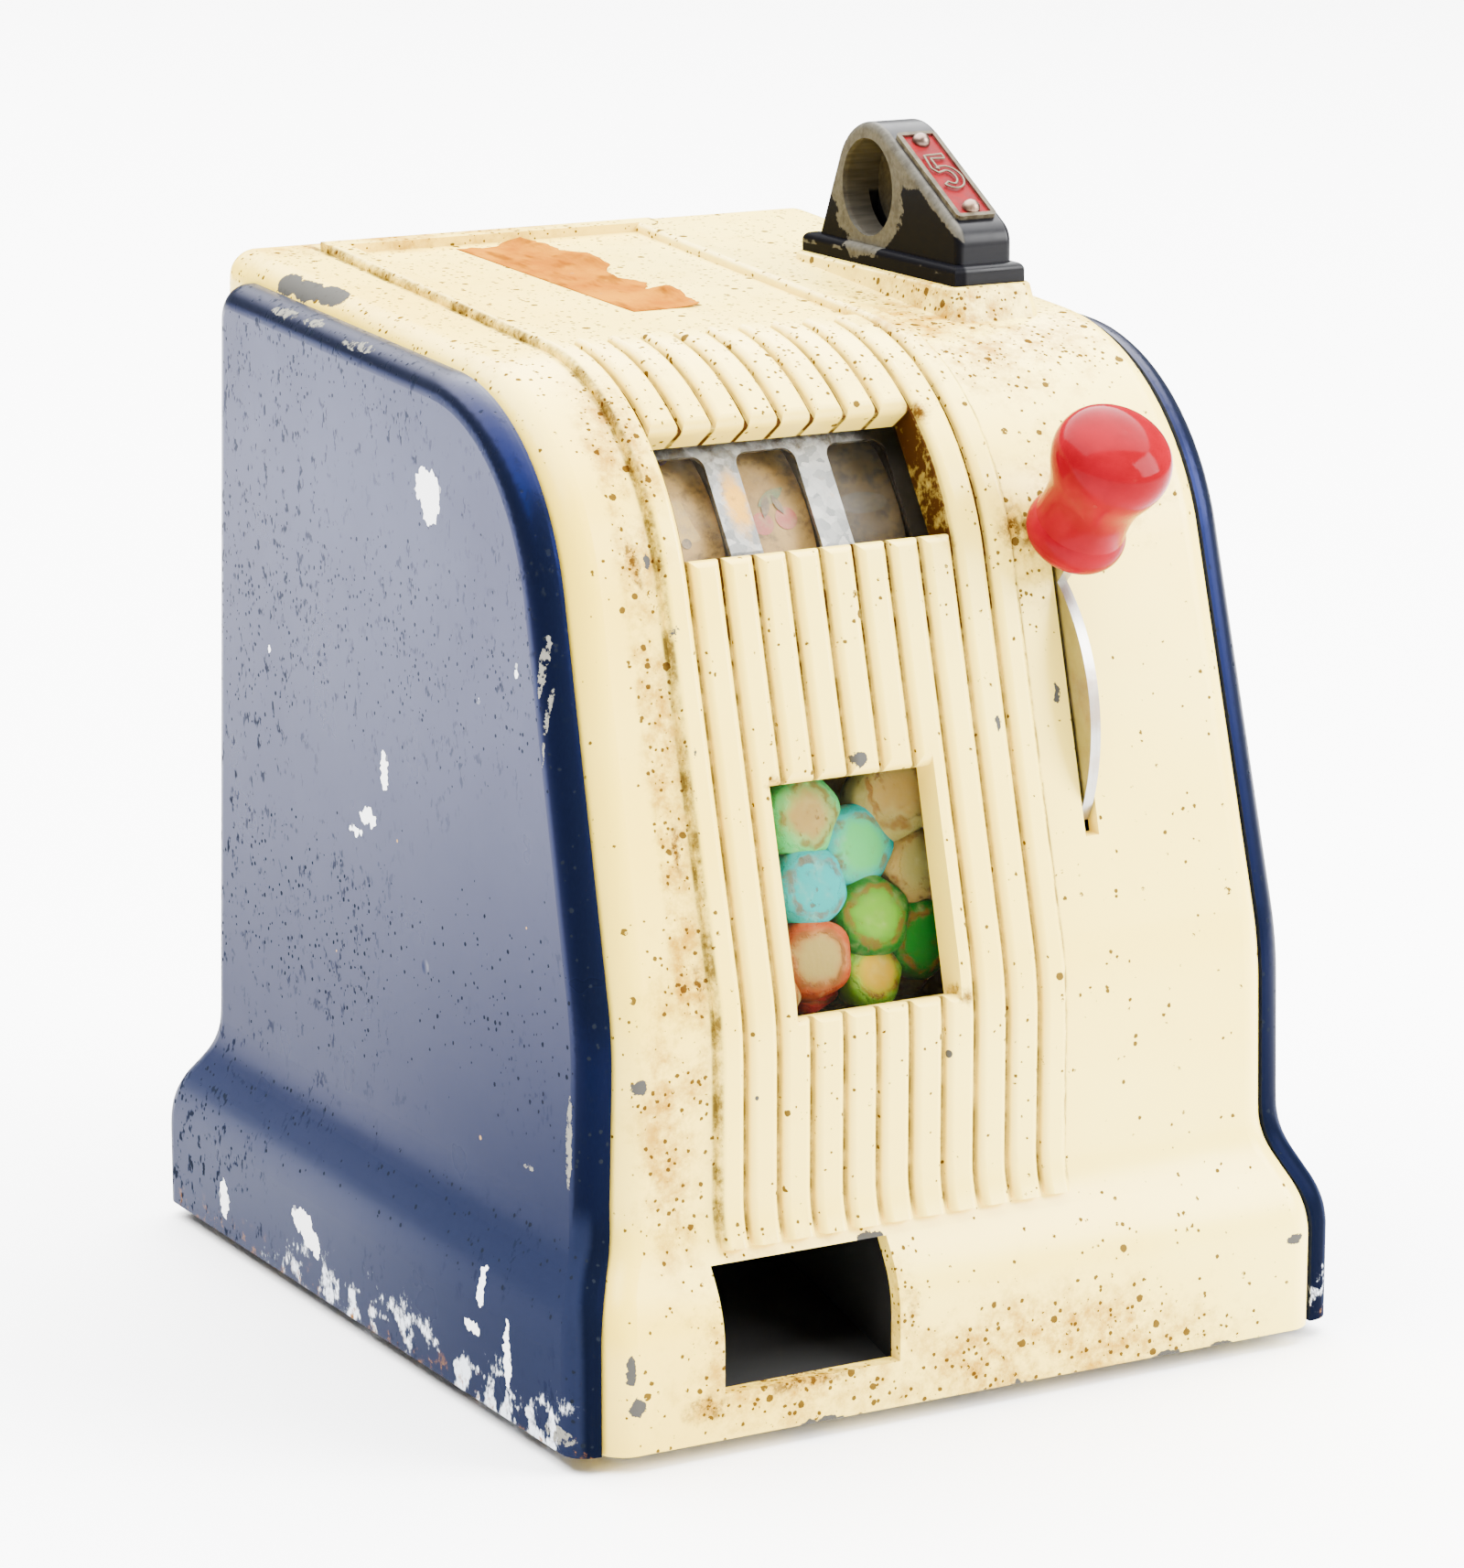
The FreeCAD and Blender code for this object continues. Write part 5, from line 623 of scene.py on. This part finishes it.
def mask_sheet():
    """Bright spangled sheet, browned at the middle opening, spotted with dirt in a cloud, and darker
    towards the right and the top.
    """
    sheet = galvanised("mask_sheet", (0.13, 0.135, 0.13), (0.30, 0.30, 0.28), 0.5)
    clean = Value(sheet.tree, sheet.shader.inputs["Base Color"].links[0].from_socket)
    brown = sheet.patches(MASK_RUST, at=sheet.warped(5, 3), soft=0.7)
    dirt = sheet.noise(5, detail=5, rough=0.7, shift=5)
    # Besides the dirt cloud, the sheet is made darker towards the right and towards the top.
    dirt = dirt + sheet.x.rise(4, 11) * 0.5 + sheet.z.rise(203, 212) * 0.16
    colour = sheet.mix(brown, clean, (0.52, 0.27, 0.03))
    colour = sheet.mix(dirt.rise(0.56, 0.86), colour, (0.05, 0.042, 0.03))
    return sheet.set(base_color=colour, metallic=0.3)


steel = brushed("dull_steel", (0.26, 0.26, 0.25), (0.48, 0.48, 0.47), 0.3)
nickel = brushed("worn_nickel", (0.20, 0.19, 0.17), (0.38, 0.37, 0.34), 0.24, grain=(1, 6, 6), tarnish=0.6)
brass = brushed("dull_brass", (0.40, 0.28, 0.09), (0.66, 0.48, 0.19), 0.3)
alloy = brushed("cast_alloy", (0.42, 0.42, 0.42), (0.56, 0.56, 0.56), 0.42, grain=(2, 2, 2), tarnish=0.15)
zinc = galvanised("zinc_sheet", (0.36, 0.35, 0.32), (0.58, 0.57, 0.52), 0.9)
tin_plate = galvanised("tin_plate", (0.16, 0.15, 0.14), (0.26, 0.25, 0.23), 0.9)
rivet_steel = brushed("browned_rivet", (0.10, 0.065, 0.05), (0.20, 0.14, 0.11), 0.3, tarnish=0.6)
dress(steel, "foot_screws", "panel_screws", "mask_screws", "hopper_screws", "coin_head_screws")
dress(steel, "door_hinge_pin", "reel_shaft", "pawl_shaft", "tie_rods", "spring_post", "return_spring")
dress(steel, "lever_shaft", "knob_stud", "lever_crank", "link_rod", "lock_cam")
dress(steel, "gum_wheel_shaft", "gum_crank")
dress(nickel, "lever_plate", "lock_barrel")
dress(brass, "shaft_spacers", "lever_bushes", "lock_plug")
dress(mask_sheet(), "reel_mask")
dress(zinc, "mech_plate_left", "mech_plate_right", "lever_bracket", "base_plate")
dress(tin_plate, "gum_hopper", "coin_chute", "cash_box")
dress(rivet_steel, "plate_rivets")
dress(alloy, "gum_wheel")
SIDES = ("left", "middle", "right")
for side in SIDES:
    dress(alloy, f"reel_{side}")
    dress(steel, f"stop_wheel_{side}", f"stop_pawl_{side}")
rubber = Finish("black_rubber", base_color=(0.018, 0.018, 0.018), roughness=0.8)
dress(rubber, "rubber_feet")
print("bare metals dressed")


# %% [markdown]
# ## Window panes
# Old panes are hazy with a cloudy film of dust. Real glass could be traced, but it bends and loses
# light for little to see. Here alpha is the haze: where it is low the reels and the gum show.

# %% Glass
def dusty_glass(name, haze):
    glass = Finish(name, base_color=(0.045, 0.038, 0.026), specular_ior_level=0.3)
    dust = glass.noise(11, detail=6, rough=0.7).rise(0.35, 0.8)
    return glass.set(alpha=dust * haze + 0.03, roughness=0.06 + dust * 0.3)


dress(dusty_glass("reel_pane", 0.22), "reel_glass")
dress(dusty_glass("gum_pane", 0.05), "gum_glass")
print("two dusty panes")

# %% [markdown]
# ## Gum
# The balls have lain against the pane for years and sagged into thick discs, flat in front, with
# the blunt corners that neighbours leave. Each is a superellipsoid: powers of sine and cosine
# instead of the plain ones make a sphere squarer, and a five-sided ripple stands for the
# neighbours. The front discs are placed by their middles in the window; plain balls lie behind.

# %% Gumballs
WINDOW_MIDDLE = np.array((-20.4, -93.7217, 118.5))
WINDOW_TILT = math.radians(14.3173)
ACROSS = np.array((1.0, 0.0, 0.0))
INWARDS = np.array((0.0, math.cos(WINDOW_TILT), -math.sin(WINDOW_TILT)))
UPWARDS = np.array((0.0, math.sin(WINDOW_TILT), math.cos(WINDOW_TILT)))
CANDY = {
    "beige": (0.21, 0.14, 0.035), "mint": (0.035, 0.28, 0.07), "turquoise": (0.0008, 0.20, 0.19),
    "pale": (0.17, 0.15, 0.04), "leaf": (0.07, 0.19, 0.006), "green": (0.0006, 0.07, 0.004),
    "brick": (0.19, 0.028, 0.004), "yellow": (0.28, 0.17, 0.001), "peach": (0.29, 0.07, 0.010),
    "rose": (0.30, 0.014, 0.012), "sand": (0.20, 0.15, 0.04),
}
# Across, up and behind the pane, radius, colour of the face and of the side.
FRONT_DISCS = [
    (-6.0, 18.1, 0.0, 10.4, "beige", "mint"), (17.8, 19.6, 0.6, 10.6, "beige", "pale"),
    (-21.4, 9.6, 1.6, 8.8, "mint", "turquoise"), (6.8, 9.3, 1.4, 10.4, "mint", "turquoise"),
    (22.4, 3.6, 2.4, 9.4, "pale", "beige"), (-6.4, 1.9, 0.0, 9.9, "turquoise", "turquoise"),
    (8.2, -6.3, 0.2, 10.0, "leaf", "green"), (21.2, -13.0, 2.2, 9.4, "green", "green"),
    (-22.6, -5.2, 1.4, 8.4, "turquoise", "mint"), (-7.5, -13.9, 0.2, 9.8, "sand", "brick"),
    (7.6, -18.8, 1.8, 8.4, "yellow", "leaf"), (-18.6, -18.6, 1.8, 8.2, "peach", "beige"),
    (-5.0, -19.0, 8.4, 7.6, "rose", "rose"),
]
DISC_FRONT, DISC_HALF, DISC_POWER = 8.4, 5.6, 0.55
BALL_RADIUS, BALL_STEP, BALL_DEPTH, BALL_POWER = 7.6, 16.3, 30.3, 0.85
BALL_ROWS, FIRST_RISE = 4, -18.85
BALL_RINGS, BALL_SEGMENTS, NEIGHBOUR_DENT = 21, 44, 0.045


def ball_surface(twist, power, dent):
    """Superellipsoid over the polar angle a and the turn b: girth sin(a)^power, rippled by
    dent * cos(5 b + twist), and depth -cos(a)^power; the first and last rows are the two poles."""
    polar = np.linspace(0, math.pi, BALL_RINGS + 2)[1:-1, None]
    turn = np.linspace(0, 2 * math.pi, BALL_SEGMENTS, endpoint=False)[None, :]
    girth = np.sin(polar) ** power * (1 + dent * np.cos(5 * turn + twist)) / (1 + dent)
    depth = np.sign(np.cos(polar)) * np.abs(np.cos(polar)) ** power
    rings = np.stack([girth * np.cos(turn), girth * np.sin(turn), -depth + 0 * turn], axis=-1)
    return np.concatenate([[(0, 0, -1)], rings.reshape(-1, 3), [(0, 0, 1)]])


def gum_places():
    """Middle, half lengths, flatness and two colours of every ball: discs in front, balls behind."""
    front = [
        ((u, v, DISC_FRONT + back + DISC_HALF), (radius, radius, DISC_HALF), DISC_POWER, face, side)
        for u, v, back, radius, face, side in FRONT_DISCS
    ]
    names = list(CANDY)
    behind = []
    for row in range(BALL_ROWS):
        count = 3 if row % 2 else 4
        rise = FIRST_RISE + row * BALL_STEP * math.sqrt(0.75)
        for i in range(count):
            place = ((i - (count - 1) / 2) * BALL_STEP, rise, BALL_DEPTH)
            candy = names[(3 * row + i) % len(names)]
            behind.append((place, (BALL_RADIUS,) * 3, BALL_POWER, candy, candy))
    return front + behind


def gumball_mesh(finish):
    """All the gum as one mesh, with two colours and the angle from the front on every point."""
    chance = np.random.default_rng(4)
    gum = gum_places()
    places = np.array([ball[0] for ball in gum])
    halves = np.array([ball[1] for ball in gum])
    shapes = np.array([ball_surface(chance.uniform(0, 6), ball[2], NEIGHBOUR_DENT) for ball in gum])
    tilt = chance.uniform(-0.12, 0.12, (len(gum), 1, 2))
    local = shapes * halves[:, None, :]
    local[..., 2] += (local[..., :2] * tilt).sum(axis=-1)
    local = local + places[:, None, :]
    points = WINDOW_MIDDLE + local @ np.stack([ACROSS, UPWARDS, INWARDS])

    per_ball = shapes.shape[1]
    first, last = 1 + np.arange(BALL_SEGMENTS), per_ball - 1 - BALL_SEGMENTS + np.arange(BALL_SEGMENTS)
    parts = [
        fan_faces(0, first), grid_faces(BALL_RINGS, BALL_SEGMENTS, wrap=True) + 1,
        fan_faces(per_ball - 1, last[::-1]),
    ]
    starts = (np.arange(len(gum)) * per_ball)[:, None, None]
    # The window's axes are left-handed, so each face is turned round to point outwards.
    faces = [(part[None, :, ::-1] + starts).reshape(-1, part.shape[1]) for part in parts]
    piece = mesh_piece("pressed_gumballs", points.reshape(-1, 3), faces, "cabinet", finish)
    for name, column in (("face_candy", 3), ("side_candy", 4)):
        rgba = np.array([(*CANDY[ball[column]], 1.0) for ball in gum])
        shade = piece.data.color_attributes.new(name, "FLOAT_COLOR", "POINT")
        shade.data.foreach_set("color", np.repeat(rgba, per_ball, axis=0).ravel())
    off_axis = np.linalg.norm(shapes[..., :2], axis=-1)
    reach = piece.data.attributes.new("off_axis", "FLOAT", "POINT")
    reach.data.foreach_set("value", np.where(shapes[..., 2] < 0, off_axis, 2 - off_axis).ravel())
    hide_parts("gumballs")
    return piece


def gum_finish():
    """Chalky sugar: the face fades into the side's colour past a worn ring, with pits and specks; past the
    rim the ball is painted near black as the shade between the balls.
    """
    shell = Finish("chalky_sugar", specular_ior_level=0.04)
    face = shell.add("ShaderNodeAttribute", {"attribute_name": "face_candy"})
    side = shell.add("ShaderNodeAttribute", {"attribute_name": "side_candy"})
    reach = shell.add("ShaderNodeAttribute", {"attribute_name": "off_axis"}, output=2)
    cloud = shell.noise(6, detail=5, rough=0.65)
    wander = reach + (cloud - 0.5) * 0.7
    ring = wander.off_line(0.66, 0.12) * shell.noise(5, shift=8).rise(0.4, 0.6)
    spots = shell.specks(1.8, 0.60, shift=2) * shell.noise(9, shift=5).rise(0.45, 0.65)
    colour = shell.mix(wander.rise(0.35, 0.85), face, side)
    colour = shell.mix(cloud.rise(0.5, 0.75) * 0.3, colour, (0.30, 0.27, 0.10))
    colour = shell.mix(ring * 0.7, colour, (0.10, 0.035, 0.006))
    colour = shell.mix(spots * 0.7, colour, (0.07, 0.035, 0.010))
    # Painted shade: round the rim and over the back each ball is painted near black, as the shade in the
    # gaps between the balls.
    gap_shade = reach.rise(0.88, 1.15)
    colour = shell.mix(gap_shade * 0.9, colour, (0.004, 0.004, 0.003))
    height = shell.noise(1.6, detail=4) * 0.5 + wander.off_line(0.72, 0.14) - spots * 0.5
    normal = shell.bump(height, 0.35, 0.7)
    return shell.set(base_color=colour, roughness=0.55 + cloud * 0.25, normal=normal)


gumballs = gumball_mesh(gum_finish())
print(len(FRONT_DISCS), "discs in front,", len(gumballs.data.polygons), "faces of gum")

# %% [markdown]
# ## Printed reel strips
# Each reel carries a paper strip with twelve fruits, one to a stop. The prints are thin patches:
# an outline r(t) in the strip's own plane is filled by rings from its middle, and the flat patch is
# rolled on the reel by turning its length along the strip into an angle.

# %% Strip paper
REEL_RADIUS, REEL_Y, REEL_Z = 40.0, -20.7579, 174.2616
REEL_X = dict(zip(SIDES, (-43.7, -20.4, 2.9)))
WINDOW_LEAN = math.radians(34.4158)
STOPS = 12


def strip_paper():
    """Yellowed paper, smeared with oil; the right strip is made almost black."""
    paper = Finish("strip_paper", roughness=0.62)
    yellow = paper.noise(16, detail=4).rise(0.3, 0.7)
    smear = paper.noise(5, detail=6, rough=0.7, shift=3).rise(0.45, 0.70)
    colour = paper.mix(yellow, (0.40, 0.25, 0.07), (0.26, 0.15, 0.035))
    colour = paper.mix(smear * 0.7, colour, (0.05, 0.03, 0.012))
    darker_right = paper.x.rise(-9, -7) * (0.8 + smear * 0.15)
    return paper.set(base_color=paper.mix(darker_right, colour, (0.020, 0.017, 0.011)))


def ink(name, colour):
    print_ink = Finish(name, roughness=0.5)
    faded = print_ink.noise(3, detail=5, rough=0.7).rise(0.4, 0.7)
    worn = print_ink.mix(faded * 0.6 + 0.25, colour, (0.32, 0.22, 0.09))
    # The prints on the right strip are made darker, like its paper.
    darker_right = print_ink.x.rise(-9, -7) * 0.85
    return print_ink.set(base_color=print_ink.mix(darker_right, worn, (0.045, 0.038, 0.026)))


INKS = {
    "red": ink("red_ink", (0.40, 0.03, 0.03)), "green": ink("green_ink", (0.04, 0.13, 0.05)),
    "orange": ink("orange_ink", (0.62, 0.22, 0.03)), "violet": ink("violet_ink", (0.12, 0.05, 0.20)),
    "gold": ink("gold_ink", (0.52, 0.33, 0.05)), "black": ink("black_ink", (0.025, 0.02, 0.02)),
}
dress(strip_paper(), *(f"reel_strip_{side}" for side in SIDES))
print(len(INKS), "inks")

# %% Fruit prints
TURN = np.linspace(0, 2 * math.pi, 48, endpoint=False)
PRINT_RINGS, PRINT_LIFT = 4, 0.06


def oval(u, v, wide, tall):
    """Ellipse (u + wide cos t, v + tall sin t)."""
    return np.stack([u + wide * np.cos(TURN), v + tall * np.sin(TURN)], axis=-1)


def bell(wide, tall):
    """Bell outline: the half width grows from the crown as 0.35 + 0.65 q^3 over the height q."""
    height = np.sin(TURN)
    share = (1 - height) / 2
    reach = np.abs(np.cos(TURN)) ** 0.35 * (0.35 + 0.65 * share ** 3)
    return np.stack([wide * np.sign(np.cos(TURN)) * reach, tall * height], axis=-1)


def leaf(u, v, length, angle):
    """Pointed oval: half width length / 3 sin t |sin t| about an axis at an angle."""
    along, off = length * np.cos(TURN), length / 3 * np.sin(TURN) * np.abs(np.sin(TURN))
    c, s = math.cos(angle), math.sin(angle)
    return np.stack([u + along * c - off * s, v + along * s + off * c], axis=-1)


FRUITS = {
    "cherries": [("red", oval(-3.2, -2.6, 2.7, 2.7)), ("red", oval(3.0, -1.8, 2.7, 2.7)),
                 ("green", leaf(0.6, 3.6, 4.4, 0.5)), ("black", leaf(-1.4, 1.4, 3.0, 1.2)),
                 ("black", leaf(1.8, 1.6, 2.6, 1.9))],
    "bell": [("gold", bell(5.4, 5.2)), ("black", oval(0, -5.4, 1.2, 1.2))],
    "plum": [("violet", oval(0, -0.6, 4.6, 5.2)), ("green", leaf(2.2, 4.8, 2.6, 0.5))],
    "orange": [("orange", oval(0, -0.4, 5.2, 5.2)), ("green", leaf(-1.6, 5.0, 2.6, 2.6))],
    "bar": [("black", oval(0, 0, 6.4, 2.6))],
}
ORDERS = {
    "left": ("bell", "plum", "cherries", "orange", "bar", "plum"),
    "middle": ("cherries", "orange", "bell", "plum", "orange", "bar"),
    "right": ("bar", "cherries", "plum", "bell", "orange", "cherries"),
}


def rolled_print(outline, stop, layer, x):
    """A middle point and rings about it; u goes along x and v / radius becomes the angle."""
    middle = outline.mean(axis=0)
    share = np.linspace(0, 1, PRINT_RINGS + 1)[1:, None, None]
    flat = np.concatenate([middle[None], (middle + share * (outline - middle)).reshape(-1, 2)])
    radius = REEL_RADIUS + PRINT_LIFT * (1 + layer)
    angle = math.pi - WINDOW_LEAN - flat[:, 1] / REEL_RADIUS + stop * 2 * math.pi / STOPS
    return np.stack([
        x + flat[:, 0], REEL_Y + radius * np.cos(angle), REEL_Z + radius * np.sin(angle),
    ], axis=-1)


patch_faces = [fan_faces(0, 1 + np.arange(len(TURN))), grid_faces(PRINT_RINGS, len(TURN), wrap=True) + 1]
patch_points = 1 + PRINT_RINGS * len(TURN)
for side, x in REEL_X.items():
    order = ORDERS[side] * (STOPS // len(ORDERS[side]))
    for colour, finish in INKS.items():
        patches = [
            rolled_print(outline, stop, layer, x)
            for stop, fruit in enumerate(order)
            for layer, (name, outline) in enumerate(FRUITS[fruit]) if name == colour
        ]
        if not patches:
            continue
        starts = (np.arange(len(patches)) * patch_points)[:, None, None]
        faces = [(part[None, :, ::-1] + starts).reshape(-1, part.shape[1]) for part in patch_faces]
        points, body = np.concatenate(patches), f"reel_{side}"
        mesh_piece(f"{colour}_print_{side}", points, faces, body, finish)
print("fruits on three strips")

# %% [markdown]
# ## Torn tape
# A strip of orange tape on the top card panel, straight on its left edge and torn on the right.
# It is a grid between two edges; the torn edge wanders and its flap curls up from the panel.

# %% Orange tape
TAPE_FRONT, TAPE_REAR = 6.8, 84.0
TAPE_LEFT_FRONT, TAPE_LEFT_REAR, TAPE_WIDE = -22.6, -29.3, 20.6
TOP_SLOPE, TOP_REAR_Y, TOP_REAR_Z = math.tan(math.radians(4)), 108.0, 241.0
TAPE_ROWS, TAPE_COLUMNS = 120, 24
TAPE_SEAT, TAPE_LIFT, TAPE_THICK = 0.14, 4.2, 0.1


def tape_surface():
    """Point (x, y, z) for v along the tape and u across it: x runs between a straight left edge and
    a right edge moved by two random broken lines, z lifts with u to the fifth power at flaps."""
    chance = np.random.default_rng(11)
    v = np.linspace(0, 1, TAPE_ROWS)[:, None]
    u = np.linspace(0, 1, TAPE_COLUMNS)[None, :]
    tears = np.interp(v, np.linspace(0, 1, 15), chance.uniform(-4.2, 0.6, 15))
    tears = tears + np.interp(v, np.linspace(0, 1, 60), chance.uniform(-0.6, 0.6, 60))
    left = TAPE_LEFT_FRONT + (TAPE_LEFT_REAR - TAPE_LEFT_FRONT) * v
    x = left + (TAPE_WIDE + tears) * u
    ragged_end = np.interp(u, np.linspace(0, 1, 9), chance.uniform(-1.5, 1.5, 9))
    y = TAPE_FRONT + (TAPE_REAR - TAPE_FRONT) * v + ragged_end * v ** 8
    flap = np.interp(v, np.linspace(0, 1, 12), chance.uniform(0, 1, 12) ** 2)
    z = TOP_REAR_Z + (y - TOP_REAR_Y) * TOP_SLOPE + TAPE_SEAT + TAPE_LIFT * flap * u ** 5
    return np.stack([x, y, z], axis=-1)


def tape_finish():
    tape = Finish("orange_tape", specular_ior_level=0.0)
    fade = tape.noise(14, detail=4).rise(0.3, 0.7)
    wrinkle_and_fold_shade = tape.noise(5, detail=3, stretch=(1, 3, 1))
    dirt = tape.dots(5, 0.3, 0.9, shift=4, at=tape.warped(1, 1.5))
    colour = tape.mix(fade, (0.22, 0.062, 0.0004), (0.32, 0.115, 0.0008))
    # Painted shade: the colour is darkened along the wrinkles as the shade in their folds; the same cloud
    # raises them by bump.
    colour = tape.mix(wrinkle_and_fold_shade.rise(0.52, 0.70) * 0.7, colour, (0.09, 0.022, 0.0002))
    colour = tape.mix(dirt * 0.7, colour, (0.22, 0.10, 0.03))
    return tape.set(base_color=colour, roughness=0.4 + fade * 0.2, normal=tape.bump(wrinkle_and_fold_shade, 1.4, 0.9))


top = tape_surface().reshape(-1, 3)
under = top - np.array((0, 0, TAPE_THICK))
sheet = grid_faces(TAPE_ROWS, TAPE_COLUMNS)
number = np.arange(len(top)).reshape(TAPE_ROWS, TAPE_COLUMNS)
rim = np.concatenate([number[0, :-1], number[:-1, -1], number[-1, :0:-1], number[:0:-1, 0]])
edge = np.stack([rim, rim + len(top), np.roll(rim, -1) + len(top), np.roll(rim, -1)], axis=-1)
tape_faces = [sheet, sheet[:, ::-1] + len(top), edge]
mesh_piece("torn_tape", np.concatenate([top, under]), tape_faces, "cabinet", tape_finish())
print(sum(map(len, tape_faces)), "faces of tape")

# %% [markdown]
# ## Numeral on the price plate
# A plain five stands up from the red plate in outline. Its middle line is a short list of strokes;
# the line is moved to both sides and joined into a loop, and a round section, half sunk in the
# plate, is swept along that loop as a thin ridge.

# %% Raised numeral
PLATE_UP = np.array((0.0, math.cos(PLATE_LEAN), math.sin(PLATE_LEAN)))
PLATE_OUT = np.array((0.0, -math.sin(PLATE_LEAN), math.cos(PLATE_LEAN)))
PLATE_FACE, NUMERAL_HALF, RIDGE_HALF, RIDGE_TALL = 0.6, 0.85, 0.28, 0.22
bowl = np.linspace(math.radians(130), math.radians(-140), 28)
five = np.concatenate([
    [(2.4, 6.4), (-1.9, 6.4), (-2.1, 2.0)],
    np.stack([0.1 + 2.5 * np.cos(bowl), -1.6 + 3.4 * np.sin(bowl)], axis=-1),
])


def sides_of(line):
    """Unit vectors square to a flat line of points."""
    along = np.gradient(line, axis=0)
    along /= np.linalg.norm(along, axis=1, keepdims=True)
    return np.stack([-along[:, 1], along[:, 0]], axis=-1)


def loop_round(line, half):
    """Even points on the loop that stays half to either side of a line."""
    side = sides_of(line)
    loop = np.concatenate([line + half * side, (line - half * side)[::-1], line[:1] + half * side[:1]])
    length = np.concatenate([[0], np.cumsum(np.linalg.norm(np.diff(loop, axis=0), axis=1))])
    steps = np.linspace(0, length[-1], 240, endpoint=False)
    return np.stack([np.interp(steps, length, loop[:, i]) for i in (0, 1)], axis=-1)


def ridge(loop):
    """Round section (h sin a, k cos a) set square to a flat loop; its lower half is in the plate."""
    ring = np.linspace(0, 2 * math.pi, 12, endpoint=False)
    across = loop[:, None, :] + RIDGE_HALF * np.sin(ring)[None, :, None] * sides_of(loop)[:, None, :]
    rise = np.broadcast_to(RIDGE_TALL * np.cos(ring), across.shape[:2])
    flat = across[..., :1] * ACROSS + across[..., 1:] * PLATE_UP
    return PLATE_MIDDLE + flat + (PLATE_FACE + rise)[..., None] * PLATE_OUT


points = ridge(loop_round(five, NUMERAL_HALF))
rows, columns = points.shape[:2]
loop_faces = grid_faces(rows + 1, columns, wrap=True)[:, ::-1] % (rows * columns)
bronze = brushed("dull_bronze", (0.05, 0.04, 0.026), (0.12, 0.10, 0.07), 0.5, tarnish=0.2)
mesh_piece("raised_five", points.reshape(-1, 3), [loop_faces], "cabinet", bronze)
print("numeral", round(float(np.ptp(points[..., 0])), 1), "mm wide")
